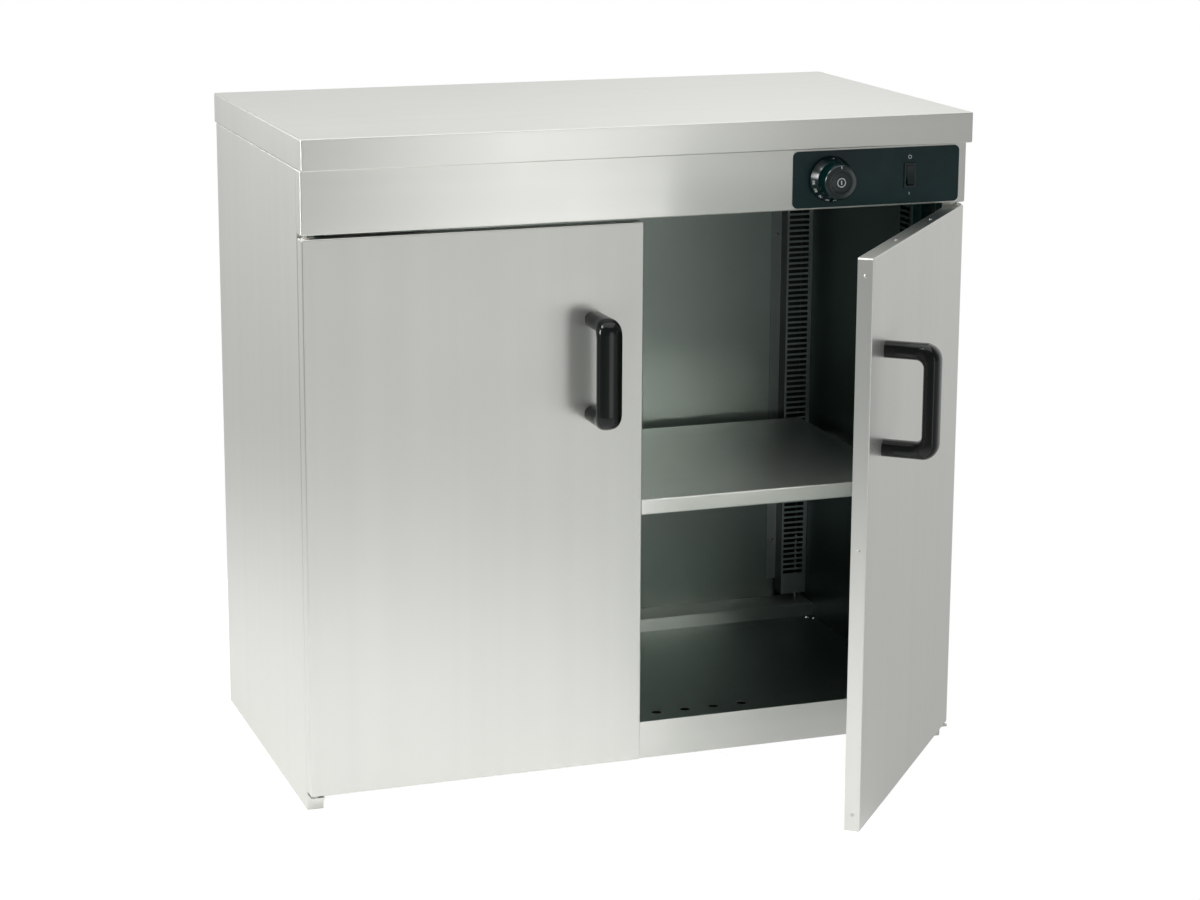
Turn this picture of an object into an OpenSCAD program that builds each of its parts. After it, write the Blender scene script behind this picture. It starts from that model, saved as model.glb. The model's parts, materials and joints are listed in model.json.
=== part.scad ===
// Hot cupboard: a free-standing heated cabinet of folded steel sheet. A lipped worktop and a control
// fascia sit on double-walled sides, two doors turn on pins, slotted corner uprights carry one shelf,
// and tubular elements warm the air under a pierced deck.
// Millimetres. X runs to the right seen from the front, Y to the back, Z up.
// The origin is on the floor, under the middle of the carcass.

/* [Overall] */
// Width of the worktop
top_w = 900; // [750:10:1200]
// Depth of the worktop
top_d = 500; // [450:10:700]
// Height of the worktop above the floor
overall_h = 870; // [760:10:1000]
// Thickness of all folded sheet
sheet_t = 1; // [0.8:0.1:1.6]

/* [Worktop] */
// Depth of the turned-down edge
top_edge_h = 40; // [30:1:60]
// Overhang of the worktop in front of the carcass
top_front_overhang = 37; // [30:1:60]
// Overhang of the worktop on each side
top_side_overhang = 1.5; // [0.5:0.5:8]
// Overhang of the worktop behind the carcass
top_back_overhang = 3; // [2.5:0.5:20]
// Width of the lip turned in under the edge
top_lip_w = 20; // [14:1:30]
// Width of a stiffener's face
stiffener_face_w = 50; // [30:1:80]
// Depth of a stiffener
stiffener_depth = 25; // [12:1:28]
// Width of a stiffener's welded flange
stiffener_flange_w = 15; // [10:1:25]

/* [Carcass] */
// Width of the flanges folded in round each side panel
side_flange_w = 22; // [18:1:24]
// Thickness of a side wall, outer panel to inner liner
side_wall_t = 31.5; // [28:0.5:45]
// Thickness of the back wall, liner face to carcass back
back_wall_t = 36; // [30:1:60]
// Height of the deck's top above the floor
deck_h = 69; // [64:1:90]
// Height of the rail at the front of the deck
rail_h = 51; // [40:1:56]
// Depth of the lip turned in under the rail
rail_lip_w = 18; // [10:1:30]
// Height of the ledge at the back of the deck
ledge_h = 19; // [10:1:24]
// Depth of the ledge, from its front to the back liner
ledge_d = 52; // [40:1:80]
// Drop of the ceiling below the fascia
ceiling_drop = 1.5; // [1:0.5:6]
// Gap between the insulation and the sheets round it
insulation_gap = 0.3; // [0.2:0.1:0.8]

/* [Deck holes] */
// Diameter of a warm air hole
vent_d = 14; // [8:1:20]
// Distance between warm air holes
vent_pitch = 41; // [25:1:60]
// Number of warm air holes
vent_count = 9; // [3:2:15]
// Distance of the holes behind the carcass front
vent_set = 32; // [20:1:60]

/* [Fascia] */
// Height of the fascia
fascia_h = 80.5; // [80:0.5:120]
// Width of the lip turned in behind the fascia
fascia_lip_w = 18; // [14:1:18]

/* [Control plate] */
// Width of the control plate
plate_w = 236; // [210:1:300]
// Height of the control plate
plate_h = 74; // [66:1:76]
// Thickness of the control plate
plate_t = 1.5; // [1:0.1:3]
// Corner radius of the control plate
plate_r = 7; // [2:0.5:12]
// Distance from the control plate to the fascia's right end
plate_end = 11; // [6:0.5:30]
// Distance from the control plate to the fascia's lower edge
plate_rise = 2.5; // [1:0.5:6]

/* [Knob] */
// Distance from the plate's left end to the knob's centre
knob_set = 52; // [40:1:70]
// Diameter of the knob at its skirt
knob_d = 60; // [54:1:62]
// Diameter of the knob's barrel where the skirt ends
knob_barrel_d = 48; // [44:1:52]
// Diameter of the knob's front
knob_front_d = 47; // [36:1:50]
// Height of the knob
knob_h = 35; // [28:1:40]
// Height of the straight rim at the knob's skirt
knob_rim_h = 3; // [1:0.5:6]
// Height at which the skirt ends
knob_skirt_h = 12.5; // [8:0.5:18]
// Width of the bevel round the knob's front
knob_bevel = 2; // [0.5:0.5:4]
// Diameter of the cap in the knob's front
cap_d = 27; // [14:1:27]
// Thickness of the cap
cap_t = 2; // [1:0.5:4]
// Gap between the knob and the control plate
knob_gap = 1; // [0.5:0.1:2]
// Diameter of the thermostat's spindle
spindle_d = 6; // [4:0.5:8]
// Length of the spindle in the knob
spindle_grip = 16; // [10:1:18]

/* [Thermostat] */
// Width and height of the thermostat's body
thermostat_w = 40; // [28:1:42]
// Depth of the thermostat's body
thermostat_d = 36; // [24:1:60]
// Diameter of the thermostat's neck
neck_d = 10; // [9:0.5:14]
// Length of the spindle inside the body
spindle_seat = 14; // [8:1:20]
// Diameter of the sensor bulb
bulb_d = 6; // [4:0.5:10]
// Length of the sensor bulb
bulb_l = 96; // [50:1:150]
// Diameter of the capillary tube
capillary_d = 2; // [1.5:0.1:3]

/* [Switch] */
// Distance from the plate's left end to the switch's centre
switch_set = 165; // [120:1:190]
// Width of the switch's bezel
bezel_w = 16.5; // [15.5:0.5:24]
// Height of the switch's bezel
bezel_h = 32.5; // [31:0.5:40]
// Thickness of the switch's bezel
bezel_t = 2; // [1:0.5:3]
// Width of the switch's body
switch_body_w = 13.5; // [13:0.5:15]
// Height of the switch's body
switch_body_h = 29.5; // [29:0.5:31]
// Depth of the switch's body
switch_body_d = 26; // [20:1:40]
// Width of the recess for the rocker
recess_w = 10.5; // [9:0.5:11]
// Height of the recess for the rocker
recess_h = 27; // [26.5:0.5:27.5]
// Depth of the recess behind the control plate
recess_d = 9; // [8:0.5:14]
// Height of the rocker
rocker_h = 25; // [22:0.5:25]
// Tilt of the rocker to each side
rocker_tilt = 8; // [4:1:9]

/* [Doors] */
// Thickness of a door
door_t = 20; // [19:0.5:26]
// Gap between a door's back and the carcass
door_back_gap = 2.5; // [2.2:0.1:5]
// Gap between a door's top and the fascia
door_top_gap = 4.5; // [3.5:0.5:8]
// Height of a door's lower edge above the floor
door_bottom = 25.5; // [24:0.5:40]
// Gap between the two doors
door_mid_gap = 4; // [3:0.5:10]
// Distance from a door's outer edge to the carcass side
door_inset = 0.5; // [0:0.5:3]
// Angle at which the right door stands open
right_door_open = 50; // [0:1:110]
// Depth of the flange round a door's liner
door_flange_d = 13; // [12:0.5:14]
// Thickness of the insulation in a door
door_insulation_t = 11; // [6:0.5:12]
// Width of the clear border round a door's insulation
door_border = 28; // [20:1:50]

/* [Pivots] */
// Distance from a door's outer edge to its pivot
pivot_edge = 7; // [6.5:0.5:7.5]
// Distance from a door's front to its pivot
pivot_front = 7; // [6.5:0.5:8]
// Diameter of a pivot pin
pin_d = 5; // [3:0.5:6]
// Diameter of a pivot bush
bush_d = 8; // [7.5:0.5:9]
// Length of a pivot bush in the door
bush_l = 12; // [8:1:20]
// Diameter of a bush's flange
bush_flange_d = 11; // [10:0.5:12.5]
// Thickness of a bush's flange
bush_flange_t = 1.5; // [1:0.1:2]
// Running clearance round a pin, spindle or trunnion
running_gap = 0.05; // [0.02:0.01:0.1]
// Gap under a door's lower bush
thrust_gap = 0.2; // [0.1:0.1:0.5]
// Thickness of a pivot lug
lug_t = 3; // [2:0.5:5]
// Width of a pivot lug
lug_w = 18; // [15:1:21]

/* [Handles] */
// Length of a handle
handle_l = 144; // [110:1:200]
// Reach of a handle from the door
handle_reach = 69; // [50:1:90]
// Width of a handle's grip
handle_w = 33; // [30:1:40]
// Thickness of a handle's grip
handle_grip_t = 21; // [18:1:26]
// Width of a handle's legs
handle_leg_w = 25; // [18:1:30]
// Thickness of a handle's legs
handle_leg_t = 21; // [16:1:30]
// Outer corner radius of a handle
handle_r = 20; // [8:1:24]
// Inner corner radius of a handle
handle_inner_r = 9; // [3:1:12]
// Rounding along the edges of the grip
handle_soft_r = 9; // [3:0.5:9]
// Corner radius of the grip's ends, seen from the front
handle_end_r = 14; // [4:1:15]
// Distance from a door's free edge to its handle's middle
handle_edge = 67; // [45:1:120]
// Distance from a door's top to its handle's middle
handle_drop = 183; // [105:1:400]

/* [Uprights and shelf] */
// Width of an upright's slotted face
upright_w = 40; // [38:1:50]
// Depth of a rear upright
upright_d = 24; // [18:1:30]
// Depth of a front upright
front_upright_d = 14; // [10:1:20]
// Width of an upright's fixing flange
upright_flange_w = 15; // [12:1:24]
// Distance from the carcass front to the middle of a front upright
front_upright_set = 62; // [50:1:120]
// Gap between the ledge and the rear uprights
upright_gap = 9; // [6:1:20]
// Height of the plain foot of an upright
upright_foot_h = 31; // [20:1:60]
// Width of a slot
slot_w = 31; // [26:0.5:33]
// Height of a slot
slot_h = 5; // [4:0.5:6]
// Distance between slots
slot_pitch = 8; // [7:0.5:16]
// Slot that holds the shelf, counted from the lowest
shelf_slot = 27; // [8:1:60]
// Height of the shelf's turned-down edge
shelf_edge_h = 21; // [14:1:30]
// Width of the lip under the shelf's edge
shelf_lip_w = 14; // [10:1:20]
// Distance of the shelf's front behind the carcass front
shelf_set = 22; // [12:1:35]
// Gap between the shelf and the uprights
shelf_gap = 2; // [1:0.5:3]
// Width of a shelf clip
clip_w = 24; // [16:1:25]
// Thickness of a shelf clip
clip_t = 3; // [2:0.5:3.5]
// Reach of a shelf clip under the shelf
clip_reach = 22; // [16:1:30]

/* [Heater] */
// Rise of the base pan above the rail's lower edge
pan_rise = 6; // [3:1:9]
// Height of the base pan's flanges
pan_flange_h = 28; // [20:1:32]
// Diameter of the element's tube
element_d = 8; // [6:0.5:10]
// Distance from an element's end to the cavity's side
element_end = 42; // [40:1:90]
// Bend radius of an element, at the tube's middle
element_bend_r = 32; // [24:1:40]
// Distance from the carcass front to the front element
element_set = 125; // [100:5:150]
// Distance between the two elements
element_pitch = 160; // [130:5:180]
// Diameter of an element's insulating bead
bead_d = 13; // [11:0.5:16]
// Length of an element's insulating bead
bead_l = 24; // [15:1:30]
// Thickness of an element bracket
bracket_t = 3; // [2:0.5:6]

/* [Supply] */
// Diameter of the cable's passage in the gland
gland_bore_d = 9; // [6:0.5:11]
// Diameter of the gland's thread
gland_thread_d = 16; // [14:1:20]
// Width of the gland's nuts across their corners
gland_nut_d = 24; // [21:1:30]
// Distance from the gland to the carcass's right side
gland_end = 118; // [90:1:300]
// Diameter of an internal lead
lead_d = 5; // [3:0.5:5.5]

/* [Fasteners] */
// Diameter of a sheet screw
screw_d = 4; // [3:0.5:4.5]
// Diameter of a sheet screw's head
screw_head_d = 8; // [6.5:0.5:9]
// Height of a sheet screw's head
screw_head_h = 1.6; // [1:0.1:2]
// Clearance round a fastener in its hole
screw_fit = 0.1; // [0.05:0.05:0.3]
// Diameter of a handle screw
handle_screw_d = 5; // [4:0.5:6]
// Diameter of a handle screw's head
handle_screw_head_d = 9; // [8:0.5:11]
// Height of a handle screw's head
handle_screw_head_h = 3; // [2:0.5:4]
// Length of a handle screw in the handle's leg
handle_screw_grip = 16; // [8:1:24]
// Diameter of a rivet
rivet_d = 3; // [2.5:0.5:4]
// Diameter of a rivet's head
rivet_head_d = 5; // [4.5:0.5:7]
// Height of a rivet's head
rivet_head_h = 0.7; // [0.4:0.1:1.2]

/* [Hidden] */
$fn = 48;
steel = [0.72, 0.73, 0.71];
dark_steel = [0.5, 0.51, 0.5];
black = [0.06, 0.07, 0.07];
wool = [0.75, 0.68, 0.45];
nylon = [0.88, 0.88, 0.84];

// Length by which a cut runs past the face that it opens
overrun = 1;

// Carcass
carcass_w = top_w - 2 * top_side_overhang;
carcass_d = top_d - top_front_overhang - top_back_overhang;
side_x = carcass_w / 2;
front_y = -carcass_d / 2;
back_y = carcass_d / 2;
carcass_top = overall_h - top_edge_h;
flange_x = side_x - side_flange_w;
inside_x = side_x - sheet_t;
cavity_x = side_x - side_wall_t;
cavity_back = back_y - back_wall_t;
back_panel_edge = 3;
back_panel_rise = 16;
back_screw_rise = 46;
back_screw_rows = 6;
back_insulation_edge = 40;
liner_screw_room = 6;
stiffener_shares = [0.3, 0.7];

// Fascia and control plate
fascia_d = door_t + door_back_gap;
fascia_y = front_y - fascia_d;
fascia_z = carcass_top - fascia_h;
ceiling_z = fascia_z - ceiling_drop;
ceiling_flange_h = 14;
plate_left = side_x - plate_end - plate_w;
plate_mid_z = fascia_z + plate_rise + plate_h / 2;
plate_y = fascia_y - plate_t;
knob_x = plate_left + knob_set;
switch_x = plate_left + switch_set;

// Thermostat and switch
thermostat_y = fascia_y + sheet_t;
thermostat_back = thermostat_y + thermostat_d;
cap_play = 0.1;
trunnion_d = 3;
trunnion_l = 1;
trunnion_set = 2;
rocker_play = 0.4;
rocker_back_d = 2.5;
rocker_heel_share = 0.5;
rocker_end_rise = 2.5;
rocker_mid_rise = 0.6;

// Doors
door_w = side_x - door_inset - door_mid_gap / 2;
door_top = fascia_z - door_top_gap;
door_h = door_top - door_bottom;
door_mid_x = side_x - door_inset - door_w / 2;
door_mid_z = door_bottom + door_h / 2;
door_back_y = fascia_y + door_t;
door_free_x = door_mid_gap / 2;
door_outer_x = door_free_x + door_w;
pivot_x = door_outer_x - pivot_edge;
pivot_y = fascia_y + pivot_front;
pivot_room = 1;
pin_grip = 9;
pin_head_d = 8;
pin_head_h = 2;
lug_top = door_bottom - bush_flange_t - thrust_gap;
lug_setback = 1;
lug_front = fascia_y + lug_setback;
rivet_edge_shares = [0.31, 0.69];
rivet_side_shares = [0.03, 0.5, 0.97];
rivet_tail_h = 1;
rivet_tail_d = 4;
handle_x = door_free_x + handle_edge;
handle_z = door_top - handle_drop;
handle_screw_z = (handle_l - handle_leg_t) / 2;

// Concealed door catches
magnet_l = 40;
magnet_w = 12;
magnet_h = 10;
catch_t = 2;
catch_set = 44;

// Uprights and shelf
ledge_top = deck_h + ledge_h;
upright_z = ledge_top + upright_gap;
upright_h = ceiling_z - upright_z;
upright_face_y = cavity_back - upright_d;
upright_return = upright_d * 3 / 4;
upright_flange_rise = 19;
slot_base_z = upright_z + upright_foot_h;
slot_head = 12;
slot_side = 3;
slot_count = floor((ceiling_z - slot_head - slot_base_z) / slot_pitch);
front_upright_y = front_y + front_upright_set;
upright_screw_rise_share = 0.12;
upright_screw_head_share = 0.83;
shelf_z = slot_base_z + shelf_slot * slot_pitch + clip_t;
shelf_half_w = cavity_x - front_upright_d - shelf_gap;
shelf_front = front_y + shelf_set;
shelf_back = upright_face_y - shelf_gap;
clip_tongue = 5;
clip_leg_h = 14;
clip_hook_h = 2.5;
clip_play = 0.3;
deck_screw_edges = [5, 13];
deck_screw_set = 8;

// Heater
pan_z = deck_h - rail_h + pan_rise;
pan_floor_z = pan_z + sheet_t;
element_reach = cavity_x - element_end;
element_z = (pan_floor_z + deck_h - sheet_t) / 2;
element_fit = 0.1;
bracket_share = 0.62;
bracket_margin = 8;

// Supply and leads
gland_x = side_x - gland_end;
gland_z = plate_mid_z;
gland_nut_h = 6;
gland_dome_h = 4;
gland_dome_d = 19;
gland_inner_l = 12;
gland_locknut_h = 4;
block_w = 58;
block_d = 24;
block_h = 22;
block_step = 7;
block_set = 62;
block_entry_share = 0.8;
lead_sides = 8;
lead_bend = 12;
lead_drop_x = cavity_x + side_wall_t / 3;
lead_drop_y = (cavity_back + sheet_t + back_y) / 2;
lead_step = 4;
capillary_x = cavity_x - bulb_d * 2;
capillary_y = upright_face_y + upright_d / 2;
capillary_hole_d = 5;

// Shared shapes

// A box between two opposite corners
module block(low, high) {
    translate(low) cube(high - low);
}

// Draws the right-hand shape as it is, or mirrored for the left-hand side
module sided(side) {
    if (side > 0) children();
    else mirror([1, 0, 0]) children();
}

// A folded tray with its plate on top and its walls hanging down
module open_tray(w, d, h) {
    difference() {
        translate([-w / 2, -d / 2, 0]) cube([w, d, h]);
        translate([-w / 2 + sheet_t, -d / 2 + sheet_t, -overrun])
            cube([w - 2 * sheet_t, d - 2 * sheet_t, h - sheet_t + overrun]);
    }
}

// A folded tray whose walls end in a lip turned in
module lipped_tray(w, d, h, lip) {
    difference() {
        translate([-w / 2, -d / 2, 0]) cube([w, d, h]);
        translate([-w / 2 + sheet_t, -d / 2 + sheet_t, sheet_t])
            cube([w - 2 * sheet_t, d - 2 * sheet_t, h - 2 * sheet_t]);
        translate([-w / 2 + lip, -d / 2 + lip, -overrun])
            cube([w - 2 * lip, d - 2 * lip, sheet_t + 2 * overrun]);
    }
}

// The section of a top-hat channel: flanges on the axis, face at the given depth
module hat_section(face, depth, flange) {
    half = face / 2;
    polygon([[-half - flange, 0], [-half + sheet_t, 0], [-half + sheet_t, depth - sheet_t],
        [half - sheet_t, depth - sheet_t], [half - sheet_t, 0], [half + flange, 0],
        [half + flange, sheet_t], [half, sheet_t], [half, depth], [-half, depth],
        [-half, sheet_t], [-half - flange, sheet_t]]);
}

// A rectangle with round corners
module rounded_rectangle(w, h, r) {
    translate([-w / 2 + r, -h / 2]) square([w - 2 * r, h]);
    translate([-w / 2, -h / 2 + r]) square([w, h - 2 * r]);
    for (x = [-w / 2 + r, w / 2 - r], y = [-h / 2 + r, h / 2 - r]) translate([x, y]) circle(r);
}

// A bar outline from the axis out to the reach, with round far corners
module round_ended(reach, length, r) {
    translate([0, -length / 2]) square([reach - r, length]);
    translate([0, -length / 2 + r]) square([reach, length - 2 * r]);
    for (y = [-length / 2 + r, length / 2 - r]) translate([reach - r, y]) circle(r);
}

// A pan-headed screw: head above the axis origin, shank below it
module screw(d, head_d, head_h, length) {
    cylinder(d = head_d, h = head_h);
    translate([0, 0, -length]) cylinder(d = d, h = length);
}

// Replaces each inner corner of a route by a short curve
function rounded(route, r, steps = 4) = [for (i = [0 : len(route) - 1])
    each i == 0 || i == len(route) - 1 ? [route[i]] :
        let (a = route[i] + r * unit(route[i - 1] - route[i]),
            b = route[i] + r * unit(route[i + 1] - route[i]))
        [for (s = [0 : steps]) let (k = s / steps)
            (1 - k) * (1 - k) * a + 2 * k * (1 - k) * route[i] + k * k * b]];
function unit(v) = v / norm(v);
function heading(p, i) = unit(p[min(i + 1, len(p) - 1)] - p[max(i - 1, 0)]);
function ring(centre, along, r, sides) = let (u = unit(cross(along, [1, 1, 1])), v = cross(along, u))
    [for (s = [0 : sides - 1]) centre + r * (cos(360 * s / sides) * u + sin(360 * s / sides) * v)];

// A round lead that follows a route
module lead(route, d, sides = lead_sides) {
    p = rounded(route, lead_bend);
    n = len(p);
    points = [for (i = [0 : n - 1]) each ring(p[i], heading(p, i), d / 2, sides)];
    walls = [for (i = [0 : n - 2], s = [0 : sides - 1])
        let (a = i * sides + s, b = i * sides + (s + 1) % sides)
        each [[a, b + sides, b], [a, a + sides, b + sides]]];
    near = [for (s = [1 : sides - 2]) [0, s, s + 1]];
    far = [for (s = [1 : sides - 2]) (n - 1) * sides * [1, 1, 1] + [0, s + 1, s]];
    polyhedron(points, concat(walls, near, far));
}

// Places of the fasteners and pins

module at_back_screws() {
    low = back_panel_rise + back_screw_rise;
    step = (carcass_top - low - back_screw_rise) / (back_screw_rows - 1);
    for (x = [-1, 1] * (side_x - side_flange_w / 2), row = [0 : back_screw_rows - 1])
        translate([x, back_y + sheet_t, low + row * step])
            rotate([-90, 0, 0]) children();
}

module at_fascia_screws() {
    for (x = [-1, 1] * (side_x - fascia_lip_w / 2),
        z = [fascia_z + fascia_lip_w + screw_head_d, carcass_top - fascia_lip_w - screw_head_d])
        translate([x, front_y + sheet_t, z]) rotate([-90, 0, 0]) children();
}

module at_upright_screws() {
    for (side = [-1, 1], rise_share = [upright_screw_rise_share, upright_screw_head_share])
        translate([side * (cavity_x - upright_w - upright_flange_w / 2), cavity_back - sheet_t,
            upright_z + upright_h * rise_share]) rotate([90, 0, 0]) children();
}

module at_deck_screws() {
    for (side = [-1, 1], i = [0 : len(deck_screw_edges) - 1])
        translate([side * (cavity_x - deck_screw_edges[i]), cavity_back - ledge_d
            - deck_screw_set * (2 - i), deck_h]) children();
}

module at_pivots() {
    for (side = [-1, 1]) translate([side * pivot_x, pivot_y, 0]) children();
}

// Places round the right-hand door: rivets point out of its top, bottom and free edges
module at_door_rivets() {
    y = fascia_y + door_t / 2;
    for (share = rivet_edge_shares) {
        translate([door_outer_x - door_w * share, y, door_top]) children();
        translate([door_outer_x - door_w * share, y, door_bottom]) rotate([180, 0, 0]) children();
    }
    for (share = rivet_side_shares)
        translate([door_free_x, y, door_bottom + door_h * share]) rotate([0, -90, 0]) children();
}

module at_handle_screws() {
    for (z = [-1, 1] * handle_screw_z)
        translate([handle_x, fascia_y + sheet_t, handle_z + z]) rotate([-90, 0, 0]) children();
}

// Swings right-hand door pieces to the rest angle, or mirrors them shut for the left-hand door
module on_door(side) {
    if (side > 0)
        translate([pivot_x, pivot_y, 0]) rotate([0, 0, right_door_open])
            translate([-pivot_x, -pivot_y, 0]) children();
    else
        mirror([1, 0, 0]) children();
}

// Worktop and carcass

module worktop() {
    color(steel)
        translate([0, front_y - top_front_overhang + top_d / 2, carcass_top])
            lipped_tray(top_w, top_d, top_edge_h, top_lip_w);
}

module worktop_stiffeners() {
    length = 2 * cavity_x;
    color(dark_steel)
        for (share = stiffener_shares)
            translate([-length / 2, front_y + carcass_d * share, overall_h - sheet_t])
                rotate([-90, 0, -90]) linear_extrude(length)
                    hat_section(stiffener_face_w, stiffener_depth, stiffener_flange_w);
}

module side_panel(side) {
    color(steel) sided(side) difference() {
        block([flange_x, front_y, 0], [side_x, back_y, carcass_top]);
        block([flange_x - overrun, front_y + sheet_t, sheet_t],
            [inside_x, back_y - sheet_t, carcass_top - sheet_t]);
        at_back_screws() translate([0, 0, -2 * sheet_t - overrun])
            cylinder(d = screw_d + 2 * screw_fit, h = 2 * sheet_t + 2 * overrun);
        at_fascia_screws() translate([0, 0, -sheet_t - overrun])
            cylinder(d = screw_d + 2 * screw_fit, h = sheet_t + 2 * overrun);
    }
}

module left_side_panel() {
    side_panel(-1);
}

module right_side_panel() {
    side_panel(1);
}

module back_panel() {
    edge = side_x - back_panel_edge;
    color(steel) difference() {
        block([-edge, back_y, back_panel_rise], [edge, back_y + sheet_t, carcass_top - back_panel_edge]);
        at_back_screws() translate([0, 0, -sheet_t - overrun])
            cylinder(d = screw_d + 2 * screw_fit, h = sheet_t + 2 * overrun);
        translate([gland_x, back_y - overrun, gland_z]) rotate([-90, 0, 0])
            cylinder(d = gland_thread_d + 2 * screw_fit, h = sheet_t + 2 * overrun);
    }
}

module back_panel_screws() {
    color(steel) at_back_screws() screw(screw_d, screw_head_d, screw_head_h, 4 * sheet_t);
}

module side_liner(side) {
    color(steel) sided(side) {
        block([cavity_x, front_y, deck_h], [cavity_x + sheet_t, cavity_back, ceiling_z]);
        block([cavity_x, front_y, deck_h], [flange_x, front_y + sheet_t, ceiling_z]);
        for (z = [deck_h, ceiling_z - sheet_t])
            block([cavity_x, front_y + sheet_t, z], [inside_x, cavity_back, z + sheet_t]);
    }
}

module left_side_liner() {
    side_liner(-1);
}

module right_side_liner() {
    side_liner(1);
}

module back_liner() {
    color(steel) difference() {
        block([-inside_x, cavity_back, deck_h], [inside_x, cavity_back + sheet_t, ceiling_z]);
        at_upright_screws() translate([0, 0, -2 * sheet_t - overrun])
            cylinder(d = screw_d + 2 * screw_fit, h = 2 * sheet_t + 2 * overrun);
    }
}

module ceiling_panel() {
    color(steel) difference() {
        union() {
            block([-inside_x, front_y + sheet_t, ceiling_z],
                [inside_x, cavity_back + sheet_t, ceiling_z + sheet_t]);
            block([-inside_x, front_y + sheet_t, ceiling_z],
                [inside_x, front_y + 2 * sheet_t, ceiling_z + ceiling_flange_h]);
        }
        translate([capillary_x, capillary_y, ceiling_z - overrun])
            cylinder(d = capillary_hole_d, h = sheet_t + 2 * overrun);
    }
}

module wall_insulation() {
    gap = insulation_gap;
    color(wool) {
        for (side = [-1, 1]) sided(side)
            block([cavity_x + sheet_t + gap, front_y + sheet_t + gap, deck_h + sheet_t + gap],
                [inside_x - gap, cavity_back - gap, ceiling_z - sheet_t - gap]);
        block([-cavity_x + back_insulation_edge, cavity_back + liner_screw_room, deck_h],
            [cavity_x - back_insulation_edge, back_y - gap, ceiling_z]);
    }
}

// Base

module base_deck() {
    vent_span = (vent_count - 1) * vent_pitch;
    color(steel) difference() {
        union() {
            block([-inside_x, front_y + sheet_t, deck_h - sheet_t],
                [inside_x, cavity_back + sheet_t, deck_h]);
            block([-flange_x, front_y, deck_h - rail_h], [flange_x, front_y + sheet_t, deck_h]);
            block([-flange_x, front_y, deck_h - rail_h],
                [flange_x, front_y + rail_lip_w, deck_h - rail_h + sheet_t]);
            for (side = [-1, 1]) sided(side)
                block([inside_x - sheet_t, front_y + sheet_t, pan_z],
                    [inside_x, cavity_back + sheet_t, deck_h]);
        }
        for (i = [0 : vent_count - 1])
            translate([-vent_span / 2 + i * vent_pitch, front_y + vent_set, deck_h - sheet_t - overrun])
                cylinder(d = vent_d, h = sheet_t + 2 * overrun);
        at_deck_screws() translate([0, 0, -sheet_t - overrun])
            cylinder(d = screw_d + 2 * screw_fit, h = sheet_t + 2 * overrun);
    }
}

module base_pan() {
    half = inside_x - sheet_t;
    front = front_y + sheet_t;
    back = back_y - sheet_t;
    color(dark_steel) difference() {
        block([-half, front, pan_z], [half, back, pan_z + pan_flange_h]);
        block([-half + sheet_t, front + sheet_t, pan_floor_z],
            [half - sheet_t, back - sheet_t, pan_z + pan_flange_h + overrun]);
    }
}

module rear_ledge() {
    front = cavity_back - ledge_d;
    color(steel) {
        block([-cavity_x, front, deck_h], [cavity_x, front + sheet_t, ledge_top]);
        block([-cavity_x, front, ledge_top - sheet_t], [cavity_x, cavity_back, ledge_top]);
    }
}

module heating_element(set) {
    color(dark_steel) translate([0, front_y + set, element_z]) {
        for (y = [-1, 1] * element_bend_r)
            translate([-element_reach, y, 0]) rotate([0, 90, 0])
                cylinder(d = element_d, h = 2 * element_reach);
        translate([-element_reach, 0, 0]) rotate([0, 0, 90]) rotate_extrude(angle = 180)
            translate([element_bend_r, 0]) circle(d = element_d);
    }
}

module front_heating_element() {
    heating_element(element_set);
}

module rear_heating_element() {
    heating_element(element_set + element_pitch);
}

module at_element_runs() {
    for (set = [element_set, element_set + element_pitch], y = [-1, 1] * element_bend_r)
        translate([0, front_y + set + y, element_z]) children();
}

module element_beads() {
    color(nylon) at_element_runs() translate([element_reach, 0, 0]) rotate([0, 90, 0])
        cylinder(d = bead_d, h = bead_l);
}

module element_brackets() {
    color(steel) difference() {
        for (x = [-1, 1] * element_reach * bracket_share, set = [element_set, element_set + element_pitch])
            translate([x, front_y + set, 0])
                block([-bracket_t / 2, -element_bend_r - bracket_margin, pan_floor_z],
                    [bracket_t / 2, element_bend_r + bracket_margin, element_z + bracket_margin]);
        at_element_runs() translate([-element_reach, 0, 0]) rotate([0, 90, 0])
            cylinder(d = element_d + 2 * element_fit, h = 2 * element_reach);
    }
}

// Fascia and controls

module switch_opening(depth) {
    w = switch_body_w + 2 * screw_fit;
    h = switch_body_h + 2 * screw_fit;
    block([switch_x - w / 2, plate_y - overrun, plate_mid_z - h / 2],
        [switch_x + w / 2, plate_y + depth, plate_mid_z + h / 2]);
}

module fascia() {
    color(steel) difference() {
        translate([0, front_y, fascia_z + fascia_h / 2]) rotate([90, 0, 0])
            lipped_tray(carcass_w, fascia_h, fascia_d, fascia_lip_w);
        translate([knob_x, fascia_y - overrun, plate_mid_z]) rotate([-90, 0, 0])
            cylinder(d = neck_d + 2 * screw_fit, h = sheet_t + 2 * overrun);
        switch_opening(plate_t + sheet_t + overrun);
        at_pivots() translate([0, 0, fascia_z - overrun]) cylinder(d = pin_d, h = sheet_t + 2 * overrun);
        at_fascia_screws() translate([0, 0, -2 * sheet_t - overrun])
            cylinder(d = screw_d + 2 * screw_fit, h = 2 * sheet_t + overrun);
    }
}

module fascia_screws() {
    color(steel) at_fascia_screws() screw(screw_d, screw_head_d, screw_head_h, 4 * sheet_t);
}

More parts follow.
